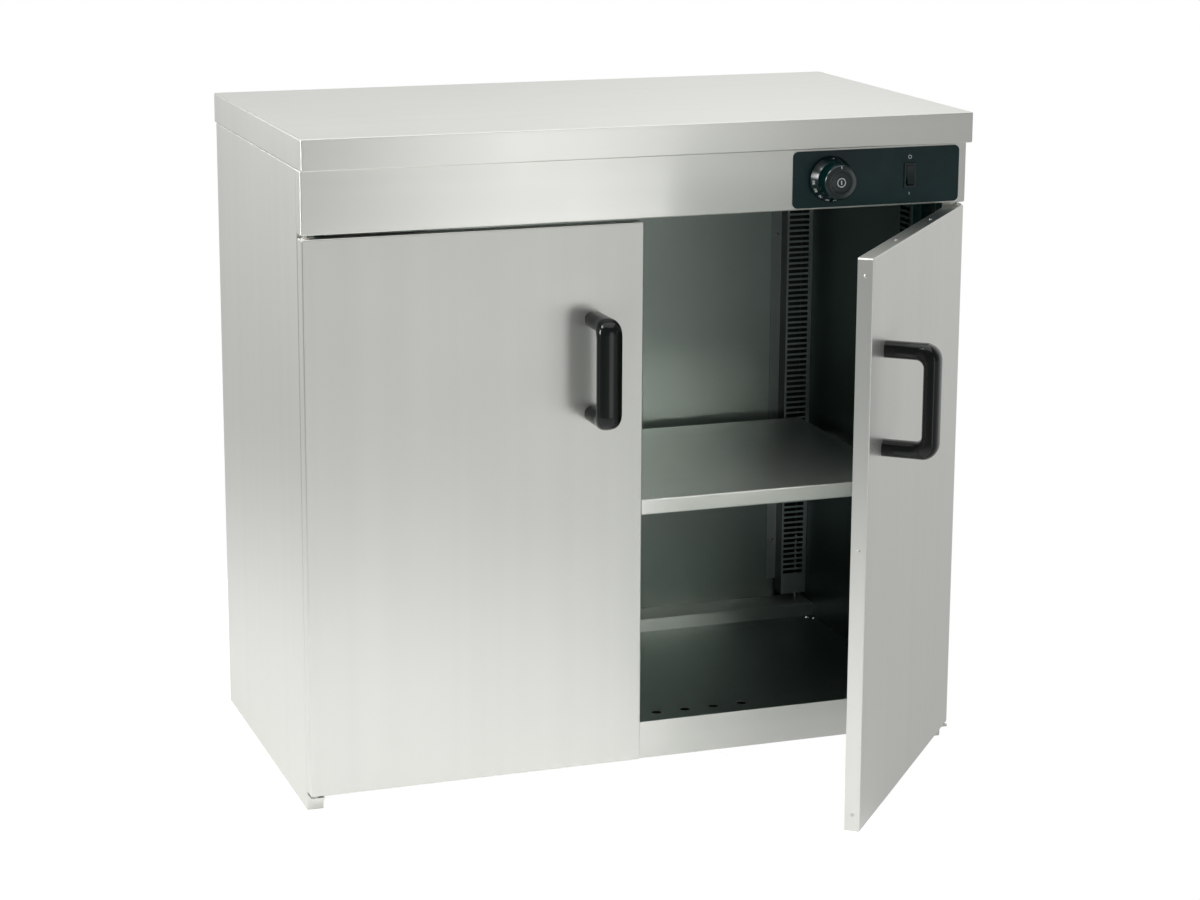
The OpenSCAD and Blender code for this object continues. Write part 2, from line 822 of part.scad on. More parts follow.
module control_plate() {
    color(black) difference() {
        translate([plate_left + plate_w / 2, fascia_y, plate_mid_z]) rotate([90, 0, 0])
            linear_extrude(plate_t) rounded_rectangle(plate_w, plate_h, plate_r);
        translate([knob_x, plate_y - overrun, plate_mid_z]) rotate([-90, 0, 0])
            cylinder(d = neck_d + 2 * screw_fit, h = plate_t + 2 * overrun);
        switch_opening(plate_t + overrun);
    }
}

module thermostat_body() {
    color(dark_steel) difference() {
        union() {
            block([knob_x - thermostat_w / 2, thermostat_y, plate_mid_z - thermostat_w / 2],
                [knob_x + thermostat_w / 2, thermostat_back, plate_mid_z + thermostat_w / 2]);
            translate([knob_x, plate_y, plate_mid_z]) rotate([-90, 0, 0])
                cylinder(d = neck_d, h = plate_t + sheet_t + overrun);
        }
        translate([knob_x, plate_y - overrun, plate_mid_z]) rotate([-90, 0, 0])
            cylinder(d = spindle_d + 2 * running_gap,
                h = overrun + plate_t + sheet_t + spindle_seat + thrust_gap);
    }
}

module thermostat_spindle() {
    color(dark_steel)
        translate([knob_x, plate_y - knob_gap - spindle_grip, plate_mid_z]) rotate([-90, 0, 0])
            cylinder(d = spindle_d, h = spindle_grip + knob_gap + plate_t + sheet_t + spindle_seat);
}

module knob() {
    front_r = knob_front_d / 2;
    color(black)
        translate([knob_x, plate_y - knob_gap, plate_mid_z]) rotate([90, 0, 0]) rotate_extrude()
            polygon([[spindle_d / 2, 0], [knob_d / 2, 0], [knob_d / 2, knob_rim_h],
                [knob_barrel_d / 2, knob_skirt_h], [front_r, knob_h - knob_bevel],
                [front_r - knob_bevel, knob_h], [cap_d / 2, knob_h], [cap_d / 2, knob_h - cap_t],
                [0, knob_h - cap_t], [0, spindle_grip], [spindle_d / 2, spindle_grip]]);
}

module knob_cap() {
    color(black)
        translate([knob_x, plate_y - knob_gap - knob_h + cap_t, plate_mid_z]) rotate([90, 0, 0])
            cylinder(d = cap_d - 2 * cap_play, h = cap_t);
}

module switch_housing() {
    color(black) difference() {
        union() {
            block([switch_x - bezel_w / 2, plate_y - bezel_t, plate_mid_z - bezel_h / 2],
                [switch_x + bezel_w / 2, plate_y, plate_mid_z + bezel_h / 2]);
            block([switch_x - switch_body_w / 2, plate_y - bezel_t, plate_mid_z - switch_body_h / 2],
                [switch_x + switch_body_w / 2, plate_y + switch_body_d, plate_mid_z + switch_body_h / 2]);
        }
        block([switch_x - recess_w / 2, plate_y - bezel_t - overrun, plate_mid_z - recess_h / 2],
            [switch_x + recess_w / 2, plate_y + recess_d, plate_mid_z + recess_h / 2]);
        translate([switch_x - recess_w / 2 - trunnion_l - running_gap, plate_y + trunnion_set, plate_mid_z])
            rotate([0, 90, 0]) cylinder(d = trunnion_d + 2 * running_gap,
                h = recess_w + 2 * trunnion_l + 2 * running_gap);
    }
}

// The rocker rests with its upper end pressed in
module rocker() {
    half = rocker_h / 2;
    face = trunnion_set + bezel_t;
    w = recess_w - 2 * rocker_play;
    color(black) translate([switch_x, plate_y + trunnion_set, plate_mid_z]) rotate([-rocker_tilt, 0, 0]) {
        rotate([90, 0, 90]) linear_extrude(w, center = true)
            polygon([[-face - rocker_end_rise, -half], [-face - rocker_mid_rise, 0],
                [-face - rocker_end_rise, half], [0, half], [rocker_back_d, half * rocker_heel_share],
                [rocker_back_d, -half * rocker_heel_share], [0, -half]]);
        translate([-recess_w / 2 - trunnion_l, 0, 0]) rotate([0, 90, 0])
            cylinder(d = trunnion_d, h = recess_w + 2 * trunnion_l);
    }
}

module sensor_bulb() {
    color(steel) translate([capillary_x, capillary_y, ledge_top]) cylinder(d = bulb_d, h = bulb_l);
}

module capillary_tube() {
    loft = ceiling_z + sheet_t + lead_bend;
    mid_y = (thermostat_back + capillary_y) / 2;
    inlet_z = plate_mid_z - thermostat_w / 4;
    color(steel) lead([[capillary_x, capillary_y, ledge_top + bulb_l], [capillary_x, capillary_y, loft],
        [capillary_x, mid_y, loft], [knob_x, mid_y, loft], [knob_x, mid_y, inlet_z],
        [knob_x, thermostat_back, inlet_z]], capillary_d);
}

module terminal_block() {
    y = cavity_back - block_set;
    z = ceiling_z + sheet_t;
    color(nylon) {
        block([gland_x - block_w / 2, y - block_d / 2, z], [gland_x + block_w / 2, y + block_d / 2, z + block_h]);
        block([gland_x - block_w / 2, y - block_d / 2 + block_step, z],
            [gland_x + block_w / 2, y + block_d / 2 - block_step, z + block_h + block_step]);
    }
}

module cable_gland() {
    color(black) translate([gland_x, back_y, gland_z]) rotate([-90, 0, 0]) difference() {
        union() {
            translate([0, 0, -gland_inner_l]) cylinder(d = gland_thread_d, h = gland_inner_l + 2 * sheet_t);
            translate([0, 0, -gland_locknut_h]) cylinder(d = gland_nut_d, h = gland_locknut_h, $fn = 6);
            translate([0, 0, sheet_t]) cylinder(d = gland_nut_d, h = gland_nut_h, $fn = 6);
            translate([0, 0, sheet_t + gland_nut_h]) cylinder(d = gland_dome_d, h = gland_dome_h);
        }
        translate([0, 0, -gland_inner_l - overrun])
            cylinder(d = gland_bore_d, h = gland_inner_l + sheet_t + gland_nut_h + gland_dome_h + 2 * overrun);
    }
}

// Leads from the block to the switch and the thermostat, down the back wall and to the elements
module wiring_loom() {
    block_front = cavity_back - block_set - block_d / 2;
    block_z = ceiling_z + sheet_t + block_h * block_entry_share;
    switch_back = plate_y + switch_body_d;
    upper_z = plate_mid_z + thermostat_w / 4;
    mid_y = (thermostat_back + block_front) / 2;
    bead_x = element_reach + bead_l;
    run_x = (bead_x + inside_x - 2 * sheet_t) / 2;
    front_run = front_y + element_set - element_bend_r;
    color(black) {
        lead([[switch_x, switch_back, plate_mid_z], [switch_x, mid_y, plate_mid_z],
            [gland_x + block_w / 4, mid_y, block_z], [gland_x + block_w / 4, block_front, block_z]], lead_d);
        lead([[knob_x, thermostat_back, upper_z], [knob_x, mid_y + lead_bend * 2, upper_z],
            [lead_drop_x, mid_y + lead_bend * 2, upper_z], [lead_drop_x, lead_drop_y, upper_z],
            [lead_drop_x, lead_drop_y, element_z], [run_x, front_y + element_set + element_pitch, element_z],
            [run_x, front_run, element_z], [bead_x, front_run, element_z]], lead_d);
        for (y = [element_set + element_bend_r, element_set + element_pitch + element_bend_r])
            translate([bead_x, front_y + y, element_z]) rotate([0, 90, 0]) cylinder(d = lead_d, h = lead_step);
        translate([bead_x, front_y + element_set + element_pitch - element_bend_r, element_z])
            rotate([0, 90, 0]) cylinder(d = lead_d, h = lead_step);
    }
}

// Uprights and shelf

// The row of slots, cut through a face that lies in the XZ plane
module slot_row() {
    for (i = [0 : slot_count - 1])
        translate([-slot_w / 2, -overrun, slot_base_z + i * slot_pitch])
            cube([slot_w, sheet_t + 2 * overrun, slot_h]);
}

module rear_upright(side) {
    web_x = cavity_x - upright_w;
    slot_x = web_x + slot_side + slot_w / 2;
    color(steel) difference() {
        sided(side) difference() {
            union() {
                block([web_x - upright_flange_w, cavity_back - sheet_t, upright_z + upright_flange_rise],
                    [web_x + sheet_t, cavity_back, ceiling_z]);
                block([web_x, upright_face_y, upright_z], [web_x + sheet_t, cavity_back, ceiling_z]);
                block([web_x, upright_face_y, upright_z], [cavity_x, upright_face_y + sheet_t, ceiling_z]);
                block([cavity_x - sheet_t, upright_face_y, upright_z],
                    [cavity_x, upright_face_y + upright_return, ceiling_z]);
            }
            translate([slot_x, upright_face_y, 0]) slot_row();
        }
        at_upright_screws() translate([0, 0, -sheet_t - overrun])
            cylinder(d = screw_d + 2 * screw_fit, h = sheet_t + 2 * overrun);
    }
}

module left_rear_upright() {
    rear_upright(-1);
}

module right_rear_upright() {
    rear_upright(1);
}

module front_upright(side) {
    color(steel) sided(side) difference() {
        translate([cavity_x, front_upright_y, upright_z]) rotate([0, 0, 90])
            linear_extrude(upright_h) hat_section(upright_w, front_upright_d, upright_flange_w);
        translate([cavity_x - front_upright_d, front_upright_y, 0]) rotate([0, 0, -90]) slot_row();
    }
}

module left_front_upright() {
    front_upright(-1);
}

module right_front_upright() {
    front_upright(1);
}

module interior_screws() {
    color(steel) {
        at_upright_screws() screw(screw_d, screw_head_d, screw_head_h, 4 * sheet_t);
        at_deck_screws() screw(screw_d, screw_head_d, screw_head_h, 4 * sheet_t);
    }
}

// A clip hooked in a slot of a face that lies in the XZ plane, with its arm towards the viewer
module shelf_clip() {
    half = clip_w / 2;
    block([-half, -clip_reach, 0], [half, clip_tongue, clip_t]);
    block([-half, -clip_t, -clip_leg_h], [half, 0, clip_t]);
    block([-half, sheet_t + clip_play, -clip_hook_h], [half, clip_tongue, clip_t]);
}

module shelf_clips() {
    z = shelf_z - clip_t;
    color(steel) for (side = [-1, 1]) sided(side) {
        translate([cavity_x - upright_w + slot_side + slot_w / 2, upright_face_y, z]) shelf_clip();
        translate([cavity_x - front_upright_d, front_upright_y, z]) rotate([0, 0, -90]) shelf_clip();
    }
}

module shelf() {
    color(steel) translate([0, (shelf_front + shelf_back) / 2, shelf_z])
        lipped_tray(2 * shelf_half_w, shelf_back - shelf_front, shelf_edge_h, shelf_lip_w);
}

// Pivots and catches

module pivot_pins() {
    color(dark_steel) at_pivots() {
        translate([0, 0, door_top - pin_grip]) cylinder(d = pin_d, h = pin_grip + door_top_gap + sheet_t);
        translate([0, 0, fascia_z + sheet_t]) cylinder(d = pin_head_d, h = pin_head_h);
        translate([0, 0, lug_top - lug_t]) cylinder(d = pin_d, h = lug_t + door_bottom - lug_top + pin_grip);
    }
}

module pivot_lugs() {
    color(steel) for (side = [-1, 1]) sided(side) difference() {
        block([door_outer_x - lug_w, lug_front, lug_top - lug_t], [door_outer_x, front_y, lug_top]);
        at_pivots() translate([0, 0, lug_top - lug_t - overrun]) cylinder(d = pin_d, h = lug_t + 2 * overrun);
    }
}

module catch_magnets() {
    y = fascia_y + door_t / 2;
    color(dark_steel) for (side = [-1, 1]) sided(side)
        block([door_free_x + catch_set - magnet_l / 2, y - magnet_w / 2, fascia_z + sheet_t],
            [door_free_x + catch_set + magnet_l / 2, y + magnet_w / 2, fascia_z + sheet_t + magnet_h]);
}

// Doors

module door_skin(side) {
    color(steel) on_door(side) difference() {
        translate([door_mid_x, door_back_y, door_mid_z]) rotate([90, 0, 0])
            open_tray(door_w, door_h, door_t);
        translate([pivot_x, pivot_y, door_bottom - overrun]) cylinder(d = bush_d, h = door_h + 2 * overrun);
        at_door_rivets() translate([0, 0, -sheet_t - overrun])
            cylinder(d = rivet_d, h = sheet_t + 2 * overrun);
        at_handle_screws() translate([0, 0, -sheet_t - overrun])
            cylinder(d = handle_screw_d + 2 * screw_fit, h = sheet_t + 2 * overrun);
    }
}

module door_liner(side) {
    w = door_w - 2 * sheet_t;
    h = door_h - 2 * sheet_t;
    notch = pivot_edge + bush_d / 2 + pivot_room;
    color(steel) on_door(side) difference() {
        translate([door_mid_x, door_back_y - door_flange_d, door_mid_z]) rotate([-90, 0, 0])
            open_tray(w, h, door_flange_d);
        for (z = [door_bottom, door_top - bush_l - pivot_room])
            block([door_outer_x - notch, door_back_y - door_flange_d - overrun, z - overrun],
                [door_outer_x, pivot_y + bush_d / 2 + pivot_room, z + bush_l + pivot_room + overrun]);
        at_door_rivets() translate([0, 0, -2 * sheet_t - overrun])
            cylinder(d = rivet_d, h = 2 * sheet_t + 2 * overrun);
    }
}

module door_insulation(side) {
    back = door_back_y - sheet_t - insulation_gap;
    color(wool) on_door(side)
        block([door_free_x + door_border, back - door_insulation_t, door_bottom + door_border],
            [door_outer_x - door_border, back, door_top - door_border]);
}

module door_handle(side) {
    color(black) on_door(side) difference() {
        translate([handle_x, fascia_y, handle_z]) intersection() {
            rotate([90, 0, -90]) linear_extrude(handle_w, center = true) difference() {
                round_ended(handle_reach, handle_l, handle_r);
                translate([-overrun, 0]) round_ended(handle_reach - handle_grip_t + overrun,
                    handle_l - 2 * handle_leg_t, handle_inner_r);
            }
            translate([0, 0, -handle_l / 2]) rotate([0, 0, -90]) linear_extrude(handle_l) {
                translate([0, -handle_leg_w / 2]) square([handle_reach - handle_grip_t / 2, handle_leg_w]);
                translate([handle_reach - handle_grip_t / 2, 0])
                    rounded_rectangle(handle_grip_t, handle_w, handle_soft_r);
            }
            rotate([90, 0, 0]) linear_extrude(handle_reach)
                rounded_rectangle(handle_w, handle_l, handle_end_r);
        }
        at_handle_screws() translate([0, 0, -sheet_t - handle_screw_grip])
            cylinder(d = handle_screw_d, h = handle_screw_grip + overrun);
    }
}

module handle_screws(side) {
    color(steel) on_door(side) at_handle_screws()
        screw(handle_screw_d, handle_screw_head_d, handle_screw_head_h, sheet_t + handle_screw_grip);
}

module door_bushes(side) {
    bore_d = pin_d + 2 * running_gap;
    color(nylon) on_door(side) translate([pivot_x, pivot_y, 0]) {
        difference() {
            union() {
                translate([0, 0, door_top - bush_l]) cylinder(d = bush_d, h = bush_l);
                translate([0, 0, door_top]) cylinder(d = bush_flange_d, h = bush_flange_t);
            }
            translate([0, 0, door_top - bush_l - overrun]) cylinder(d = bore_d,
                h = bush_l + bush_flange_t + 2 * overrun);
        }
        difference() {
            union() {
                translate([0, 0, door_bottom]) cylinder(d = bush_d, h = bush_l);
                translate([0, 0, door_bottom - bush_flange_t]) cylinder(d = bush_flange_d, h = bush_flange_t);
            }
            translate([0, 0, door_bottom - bush_flange_t - overrun]) cylinder(d = bore_d,
                h = bush_l + bush_flange_t + 2 * overrun);
        }
    }
}

module door_rivets(side) {
    color(steel) on_door(side) at_door_rivets() {
        cylinder(d = rivet_head_d, h = rivet_head_h);
        translate([0, 0, -2 * sheet_t]) cylinder(d = rivet_d, h = 2 * sheet_t);
        translate([0, 0, -2 * sheet_t - rivet_tail_h]) cylinder(d = rivet_tail_d, h = rivet_tail_h);
    }
}

module catch_plate(side) {
    y = fascia_y + door_t / 2;
    z = door_top - 2 * sheet_t;
    color(dark_steel) on_door(side)
        block([door_free_x + catch_set - magnet_l / 2, y - magnet_w / 2, z - catch_t],
            [door_free_x + catch_set + magnet_l / 2, y + magnet_w / 2, z]);
}

module left_door_skin() {
    door_skin(-1);
}

module left_door_liner() {
    door_liner(-1);
}

module left_door_insulation() {
    door_insulation(-1);
}

module left_door_handle() {
    door_handle(-1);
}

module left_handle_screws() {
    handle_screws(-1);
}

module left_door_bushes() {
    door_bushes(-1);
}

module left_door_rivets() {
    door_rivets(-1);
}

module left_catch_plate() {
    catch_plate(-1);
}

module right_door_skin() {
    door_skin(1);
}

module right_door_liner() {
    door_liner(1);
}

module right_door_insulation() {
    door_insulation(1);
}

module right_door_handle() {
    door_handle(1);
}

module right_handle_screws() {
    handle_screws(1);
}

module right_door_bushes() {
    door_bushes(1);
}

module right_door_rivets() {
    door_rivets(1);
}

module right_catch_plate() {
    catch_plate(1);
}

worktop();
worktop_stiffeners();
left_side_panel();
right_side_panel();
back_panel();
left_side_liner();
right_side_liner();
back_liner();
ceiling_panel();
wall_insulation();
base_deck();
base_pan();
rear_ledge();
fascia();
fascia_screws();
control_plate();
left_rear_upright();
right_rear_upright();
left_front_upright();
right_front_upright();
interior_screws();
shelf_clips();
shelf();
front_heating_element();
rear_heating_element();
element_beads();
element_brackets();
thermostat_body();
sensor_bulb();
capillary_tube();
thermostat_spindle();
knob();
knob_cap();
switch_housing();
rocker();
terminal_block();
cable_gland();
wiring_loom();
back_panel_screws();
pivot_pins();
pivot_lugs();
catch_magnets();
left_door_skin();
left_door_liner();
left_door_insulation();
left_door_handle();
left_handle_screws();
left_door_bushes();
left_door_rivets();
left_catch_plate();
right_door_skin();
right_door_liner();
right_door_insulation();
right_door_handle();
right_handle_screws();
right_door_bushes();
right_door_rivets();
right_catch_plate();
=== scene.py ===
"""Dresses the hot cupboard: folded satin sheet, moulded black handles and controls, a pierced warm deck."""
import json
import math

import bmesh
import bpy
from mathutils import Matrix, Vector

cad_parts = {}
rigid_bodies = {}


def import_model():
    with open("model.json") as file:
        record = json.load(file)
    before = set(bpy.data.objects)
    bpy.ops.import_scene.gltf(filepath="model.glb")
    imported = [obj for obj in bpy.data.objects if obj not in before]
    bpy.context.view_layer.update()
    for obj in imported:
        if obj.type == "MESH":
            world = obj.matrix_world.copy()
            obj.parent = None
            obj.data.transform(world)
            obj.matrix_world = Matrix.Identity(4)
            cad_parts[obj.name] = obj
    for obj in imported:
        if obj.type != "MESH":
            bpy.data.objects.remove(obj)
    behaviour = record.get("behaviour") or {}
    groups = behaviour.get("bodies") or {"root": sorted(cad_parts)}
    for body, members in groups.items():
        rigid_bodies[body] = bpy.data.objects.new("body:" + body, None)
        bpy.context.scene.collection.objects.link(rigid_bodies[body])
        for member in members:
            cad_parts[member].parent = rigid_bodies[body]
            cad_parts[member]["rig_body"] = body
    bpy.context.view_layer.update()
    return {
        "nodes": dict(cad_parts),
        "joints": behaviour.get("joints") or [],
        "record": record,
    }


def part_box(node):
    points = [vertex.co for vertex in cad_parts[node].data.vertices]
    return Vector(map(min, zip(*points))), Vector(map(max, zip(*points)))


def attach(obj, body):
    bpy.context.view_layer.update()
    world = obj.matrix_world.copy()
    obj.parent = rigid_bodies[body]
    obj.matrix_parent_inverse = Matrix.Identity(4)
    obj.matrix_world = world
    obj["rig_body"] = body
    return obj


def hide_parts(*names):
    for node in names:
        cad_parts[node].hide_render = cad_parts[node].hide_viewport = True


bl_info = {
    "name": "Hot Cupboard Looks",
    "version": (1, 0, 0),
    "blender": (4, 5, 0),
    "location": "3D View > Sidebar > Cupboard",
    "description": "Folded sheet, moulded controls and a studio for a hot cupboard",
    "category": "Add Mesh",
}

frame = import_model()
NODES = frame["nodes"]
JOINTS = {joint["name"]: joint for joint in frame["joints"]}
SLOT_OF = {part["node"]: part["material_slot"] for part in frame["record"]["subparts"]}

MM = 0.001
ACROSS = Vector((1, 0, 0))
DEPTH = Vector((0, 1, 0))
UPWARD = Vector((0, 0, 1))

# Sheet
WELD = 1e-6
GRAIN_MAP = "grain"
BEND_ANGLE = math.radians(40)
SMOOTH_ANGLE = math.radians(38)
FLAT_ANGLE = math.radians(0.5)
FACING = 0.7
LEAST_GRAIN = 0.3
CUT_EDGE_THICKNESSES = 1.2

# Painted shade in the cavity: darker back liner behind the uprights and below the shelf, darker sides on the
# rear uprights
SHADE_SHARE = 0.12
BELOW_SHELF_SHADE_SHARE = 0.52
BEHIND_UPRIGHT_SHADE_START = 16 * MM
BEHIND_UPRIGHT_SHADE_END = 8 * MM
BELOW_SHELF_SHADE_REACH = 50 * MM
# Faces of the rear uprights that turn away from the front get painted shade
UPRIGHT_SIDE = -0.3
UPRIGHT_FRONT = -0.8

# Knob
KNOB_STEP_RISE = 0.6 * MM
KNOB_TAPER = 0.8 * MM
KNOB_CREST_DROP = 0.2 * MM
KNOB_DISH_WIDTH = 2.5 * MM
KNOB_DISH_DROP = 0.8 * MM
KNOB_SEAT_DROP = 0.6 * MM
KNOB_ROUNDING = 0.8 * MM
CAP_GAP = 0.1 * MM
CAP_EDGE_DROP = 0.4 * MM
CAP_CROWN_SHARE = 0.6
CAP_CROWN_DROP = 0.25 * MM
CAP_ROUNDING = 0.5 * MM
KNOB_STEPS = 96
CAP_STEPS = 64
CORNER_SHARE = 0.45
CORNER_STEPS = 3

# Printed marks
SKIRT_TICK_WIDTH = 1.1 * MM
SKIRT_TICK_SHARE = 1.2
FRONT_TICK_INSET = 4 * MM
FRONT_TICK_WIDTH = 1.2 * MM
FRONT_TICK_HEIGHT = 3.6 * MM
CAP_RING_OUTER = 6 * MM
CAP_RING_INNER = 4.9 * MM
CAP_BAR_WIDTH = 1.6 * MM
CAP_BAR_HEIGHT = 5.4 * MM
MARK_STROKE_SHARE = 1 / 6
MARK_BAR_SHARE = 0.7
BAR_END_STEPS = 6
PRINT_PROUD_SHARE = 1 / 4
NUMBER_UNIT = 10

# Heads of screws and rivets
SCREW_HEAD = {"Head Diameter": 8 * MM, "Head Height": 1.6 * MM, "Recess Width": 1.1 * MM}
RIVET_HEAD = {"Head Diameter": 4.4 * MM, "Head Height": 0.5 * MM, "Recess Width": 0.0}
RECESS_SHARE = 0.55

# Room and floor: levels run from left to right, and a fade lies between two directions or two places
FRONT_LEVELS = (
    (-1, 0.5), (-0.9, 0.05), (-0.55, 0.05), (0.05, 0.26), (0.3, 0.37), (0.55, 0.36), (1, 0.34))
BACK_LEVELS = ((-1, 1.0), (-0.25, 0.64), (0.2, 0.52), (0.42, 1.0), (0.6, 1.0), (0.8, 0.92), (1, 0.75))
FRONT_FADE = (0.12, -0.06)
FRONT_LEAST = 0.12
BACK_FADE = (-0.34, 0.0)
BACK_LEAST = 0.5
ROUND_FADE = (-0.3, 0.4)
CEILING_FADE = (0.9, 0.4)
ROOM_TINT = (0.95, 1.0, 0.98, 1)
WHITE = (1, 1, 1, 1)
PAPER = (0.9, 0.9, 0.9, 1)
PAPER_ROUGHNESS = 0.9
FLOOR_MIDDLE = (-0.25, -0.2, 0)
FLOOR_SIDE = (1, 0.4, 0)
FLOOR_SIDE_FADE = (0.15, -0.12)
SOFTBOXES = {
    "overhead": {"place": (0.3, -0.1, 3.1), "target": (0, 0, 0.4), "size": (3.2, 2.6)},
    "strip": {"place": (1.15, -4.04, 0.6), "target": (0, -0.2, 0.6), "size": (0.7, 2.8)},
    "side": {"place": (-2.57, -0.33, 1.45), "target": (0.2, -0.3, 0.8), "size": (0.5, 1.0)},
    "key": {"place": (-1.37, -0.54, 2.7), "target": (0, -0.3, 0.6), "size": (0.7, 0.7)},
}
OPEN_SPREAD = math.pi
SENSOR_WIDTH = 36


# Settings

def number_prop(name, about, default, **kind):
    return bpy.props.FloatProperty(name=name, description=about, default=default, **kind)


def length_prop(name, about, default):
    return number_prop(name, about, default, unit="LENGTH")


def angle_prop(name, about, degrees):
    return number_prop(name, about, math.radians(degrees), unit="ROTATION")


def factor_prop(name, about, default):
    return number_prop(name, about, default, subtype="FACTOR")


def count_prop(name, about, default, least=1):
    return bpy.props.IntProperty(name=name, description=about, default=default, min=least)


def colour_prop(name, about, default):
    return bpy.props.FloatVectorProperty(name=name, description=about, default=default, subtype="COLOR")


class SheetSettings(bpy.types.PropertyGroup):
    """Sizes and finishes of the folded sheet, with colours that carry painted shade in the cavity."""
    thickness: length_prop("Thickness", "Thickness of the sheet", 1 * MM)
    bend: length_prop("Bend", "Outer radius of a fold", 2 * MM)
    bend_steps: count_prop("Bend steps", "Facets round a fold", 4)
    outer_anisotropy: factor_prop("Outer anisotropy", "Spread of reflections across the outer grain", 0.85)
    inner_anisotropy: factor_prop("Inner anisotropy", "Spread of reflections across the inner grain", 0.65)
    outer_roughness: factor_prop("Outer roughness", "Roughness of the outer sheet", 0.35)
    inner_roughness: factor_prop("Inner roughness", "Roughness of the inner sheet", 0.32)
    deck_roughness: factor_prop("Deck roughness", "Roughness of the deck's top", 0.312)
    outer_colour: colour_prop("Outer steel", "Colour of the outer sheet", (0.755, 0.755, 0.72))
    inner_colour: colour_prop("Inner steel", "Colour of the ceiling and the door liners", (0.57, 0.60, 0.575))
    back_colour: colour_prop("Back steel", "Colour of the back liner", (0.545, 0.60, 0.565))
    # Painted shade: a near-black colour for sheet in the cavity that lies in shade
    painted_shade_colour: colour_prop("Wall steel", "Colour of the dark sheet in the cavity", (0.03, 0.06, 0.055))
    upright_colour: colour_prop("Upright steel", "Colour of the slotted rear uprights", (0.42, 0.46, 0.45))
    # Painted shade: the deck's top is darker than its rail because it lies in shade
    deck_top_shade_colour: colour_prop("Deck steel", "Colour of the deck's top", (0.25, 0.30, 0.272))


class HandleSettings(bpy.types.PropertyGroup):
    """Shape of a door handle, beyond the box that it fills."""
    grip: length_prop("Grip", "Thickness of the grip", 21 * MM)
    leg: length_prop("Leg", "Thickness of a leg", 21 * MM)
    leg_width: length_prop("Leg width", "Width of a leg at the door", 25 * MM)
    outer_radius: length_prop("Outer radius", "Radius of the outer corners", 20 * MM)
    inner_radius: length_prop("Inner radius", "Radius of the inner corners", 9 * MM)
    flare: number_prop("Flare", "Outer radii over which a leg widens to the grip", 1.5)
    squareness: number_prop("Squareness", "Exponent of the rounded section, 2 for an ellipse", 2.5)
    sides: count_prop("Sides", "Facets round the section", 40, least=8)
    steps: count_prop("Steps", "Facets along each leg, corner and grip", 10)
    colour: colour_prop("Colour", "Colour of the glossy moulding", (0.0012, 0.003, 0.0027))


class ControlSettings(bpy.types.PropertyGroup):
    """The control plate's marks, the knob and the rocker."""
    plate_colour: colour_prop("Plate", "Colour of the control plate", (0.004, 0.025, 0.028))
    knob_colour: colour_prop("Knob", "Colour of the knob and the switch", (0.0005, 0.010, 0.0105))
    print_colour: colour_prop("Print", "Colour of the printed marks", (0.72, 0.74, 0.72))
    skirt_rim: length_prop("Skirt rim", "Height of the upright rim below the skirt", 3 * MM)
    skirt_height: length_prop("Skirt height", "Height of the knob's sloping skirt", 12.5 * MM)
    skirt_slope: length_prop("Skirt slope", "Distance that the skirt slopes in", 6.1 * MM)
    skirt_step: length_prop("Skirt step", "Step from the skirt in to the knob's barrel", 0.4 * MM)
    bevel: length_prop("Bevel", "Bevel at the front of the barrel", 2.2 * MM)
    number_height: length_prop("Number height", "Height of a number on the skirt", 5.5 * MM)
    number_count: count_prop("Numbers", "Count of the numbers round the skirt", 9)
    number_start: angle_prop("First number", "Clockwise turn from the tick to the first number", 81)
    number_step: angle_prop("Number step", "Turn between numbers", 23)
    mark_rise: length_prop("Mark rise", "Distance of a switch mark from the switch's middle", 24 * MM)
    mark_size: length_prop("Mark size", "Height of a switch mark", 5.2 * MM)
    print_thickness: length_prop("Print thickness", "Thickness of a printed mark", 0.12 * MM)


class StageSettings(bpy.types.PropertyGroup):
    """The photograph's camera and the studio round the cupboard."""
    camera_place: bpy.props.FloatVectorProperty(
        name="Camera place", description="Where the camera stands", default=(-1.25723, -3.63716, 1.33779),
        subtype="XYZ", unit="LENGTH")
    camera_turn: angle_prop("Turn", "Camera's turn about the vertical", -19.47)
    camera_tilt: angle_prop("Tilt", "Camera's downward tilt", 12.67)
    camera_roll: angle_prop("Roll", "Camera's roll", 0.28)
    lens: number_prop("Lens", "Focal length in millimetres on a 36 mm sensor", 86.322)
    shift: number_prop("Shift", "Vertical shift of the photograph's framing", -0.05)
    room_level: number_prop("Room level", "Brightness of the room round the white backdrop", 0.26)
    floor_glow: number_prop("Floor glow", "Brightness of the floor before the lamps reach it", 0.4)
    floor_lift: number_prop("Floor lift", "Brightness added to the floor where the lens sees it", 0.42)
    floor_near: length_prop("Floor near", "Radius inside which the floor is whole", 0.6)
    floor_far: length_prop("Floor far", "Radius at which the floor has faded", 2.4)
    overhead_level: number_prop("Overhead level", "Brightness of the softbox overhead", 1.35)
    strip_level: number_prop("Strip level", "Brightness of the strip softbox in front", 1.4)
    side_level: number_prop("Side level", "Brightness of the gridded softbox on the left", 1.8)
    side_spread: angle_prop("Side spread", "Angle across which the gridded softbox shines", 40)
    key_level: number_prop("Key level", "Brightness of the small softbox above on the left", 14.0)


SETTINGS = {
    "cupboard_sheet": SheetSettings,
    "cupboard_handle": HandleSettings,
    "cupboard_control": ControlSettings,
    "cupboard_stage": StageSettings,
}


def settings(group):
    return getattr(bpy.context.scene, "cupboard_" + group)


# Node trees

def feed(tree, socket, value):
    """Links a socket to an output or to a node's first output, or sets it to a plain value."""
    if isinstance(value, bpy.types.Node):
        value = value.outputs[0]
    if isinstance(value, bpy.types.NodeSocket):
        tree.links.new(value, socket)
    else:
        socket.default_value = value


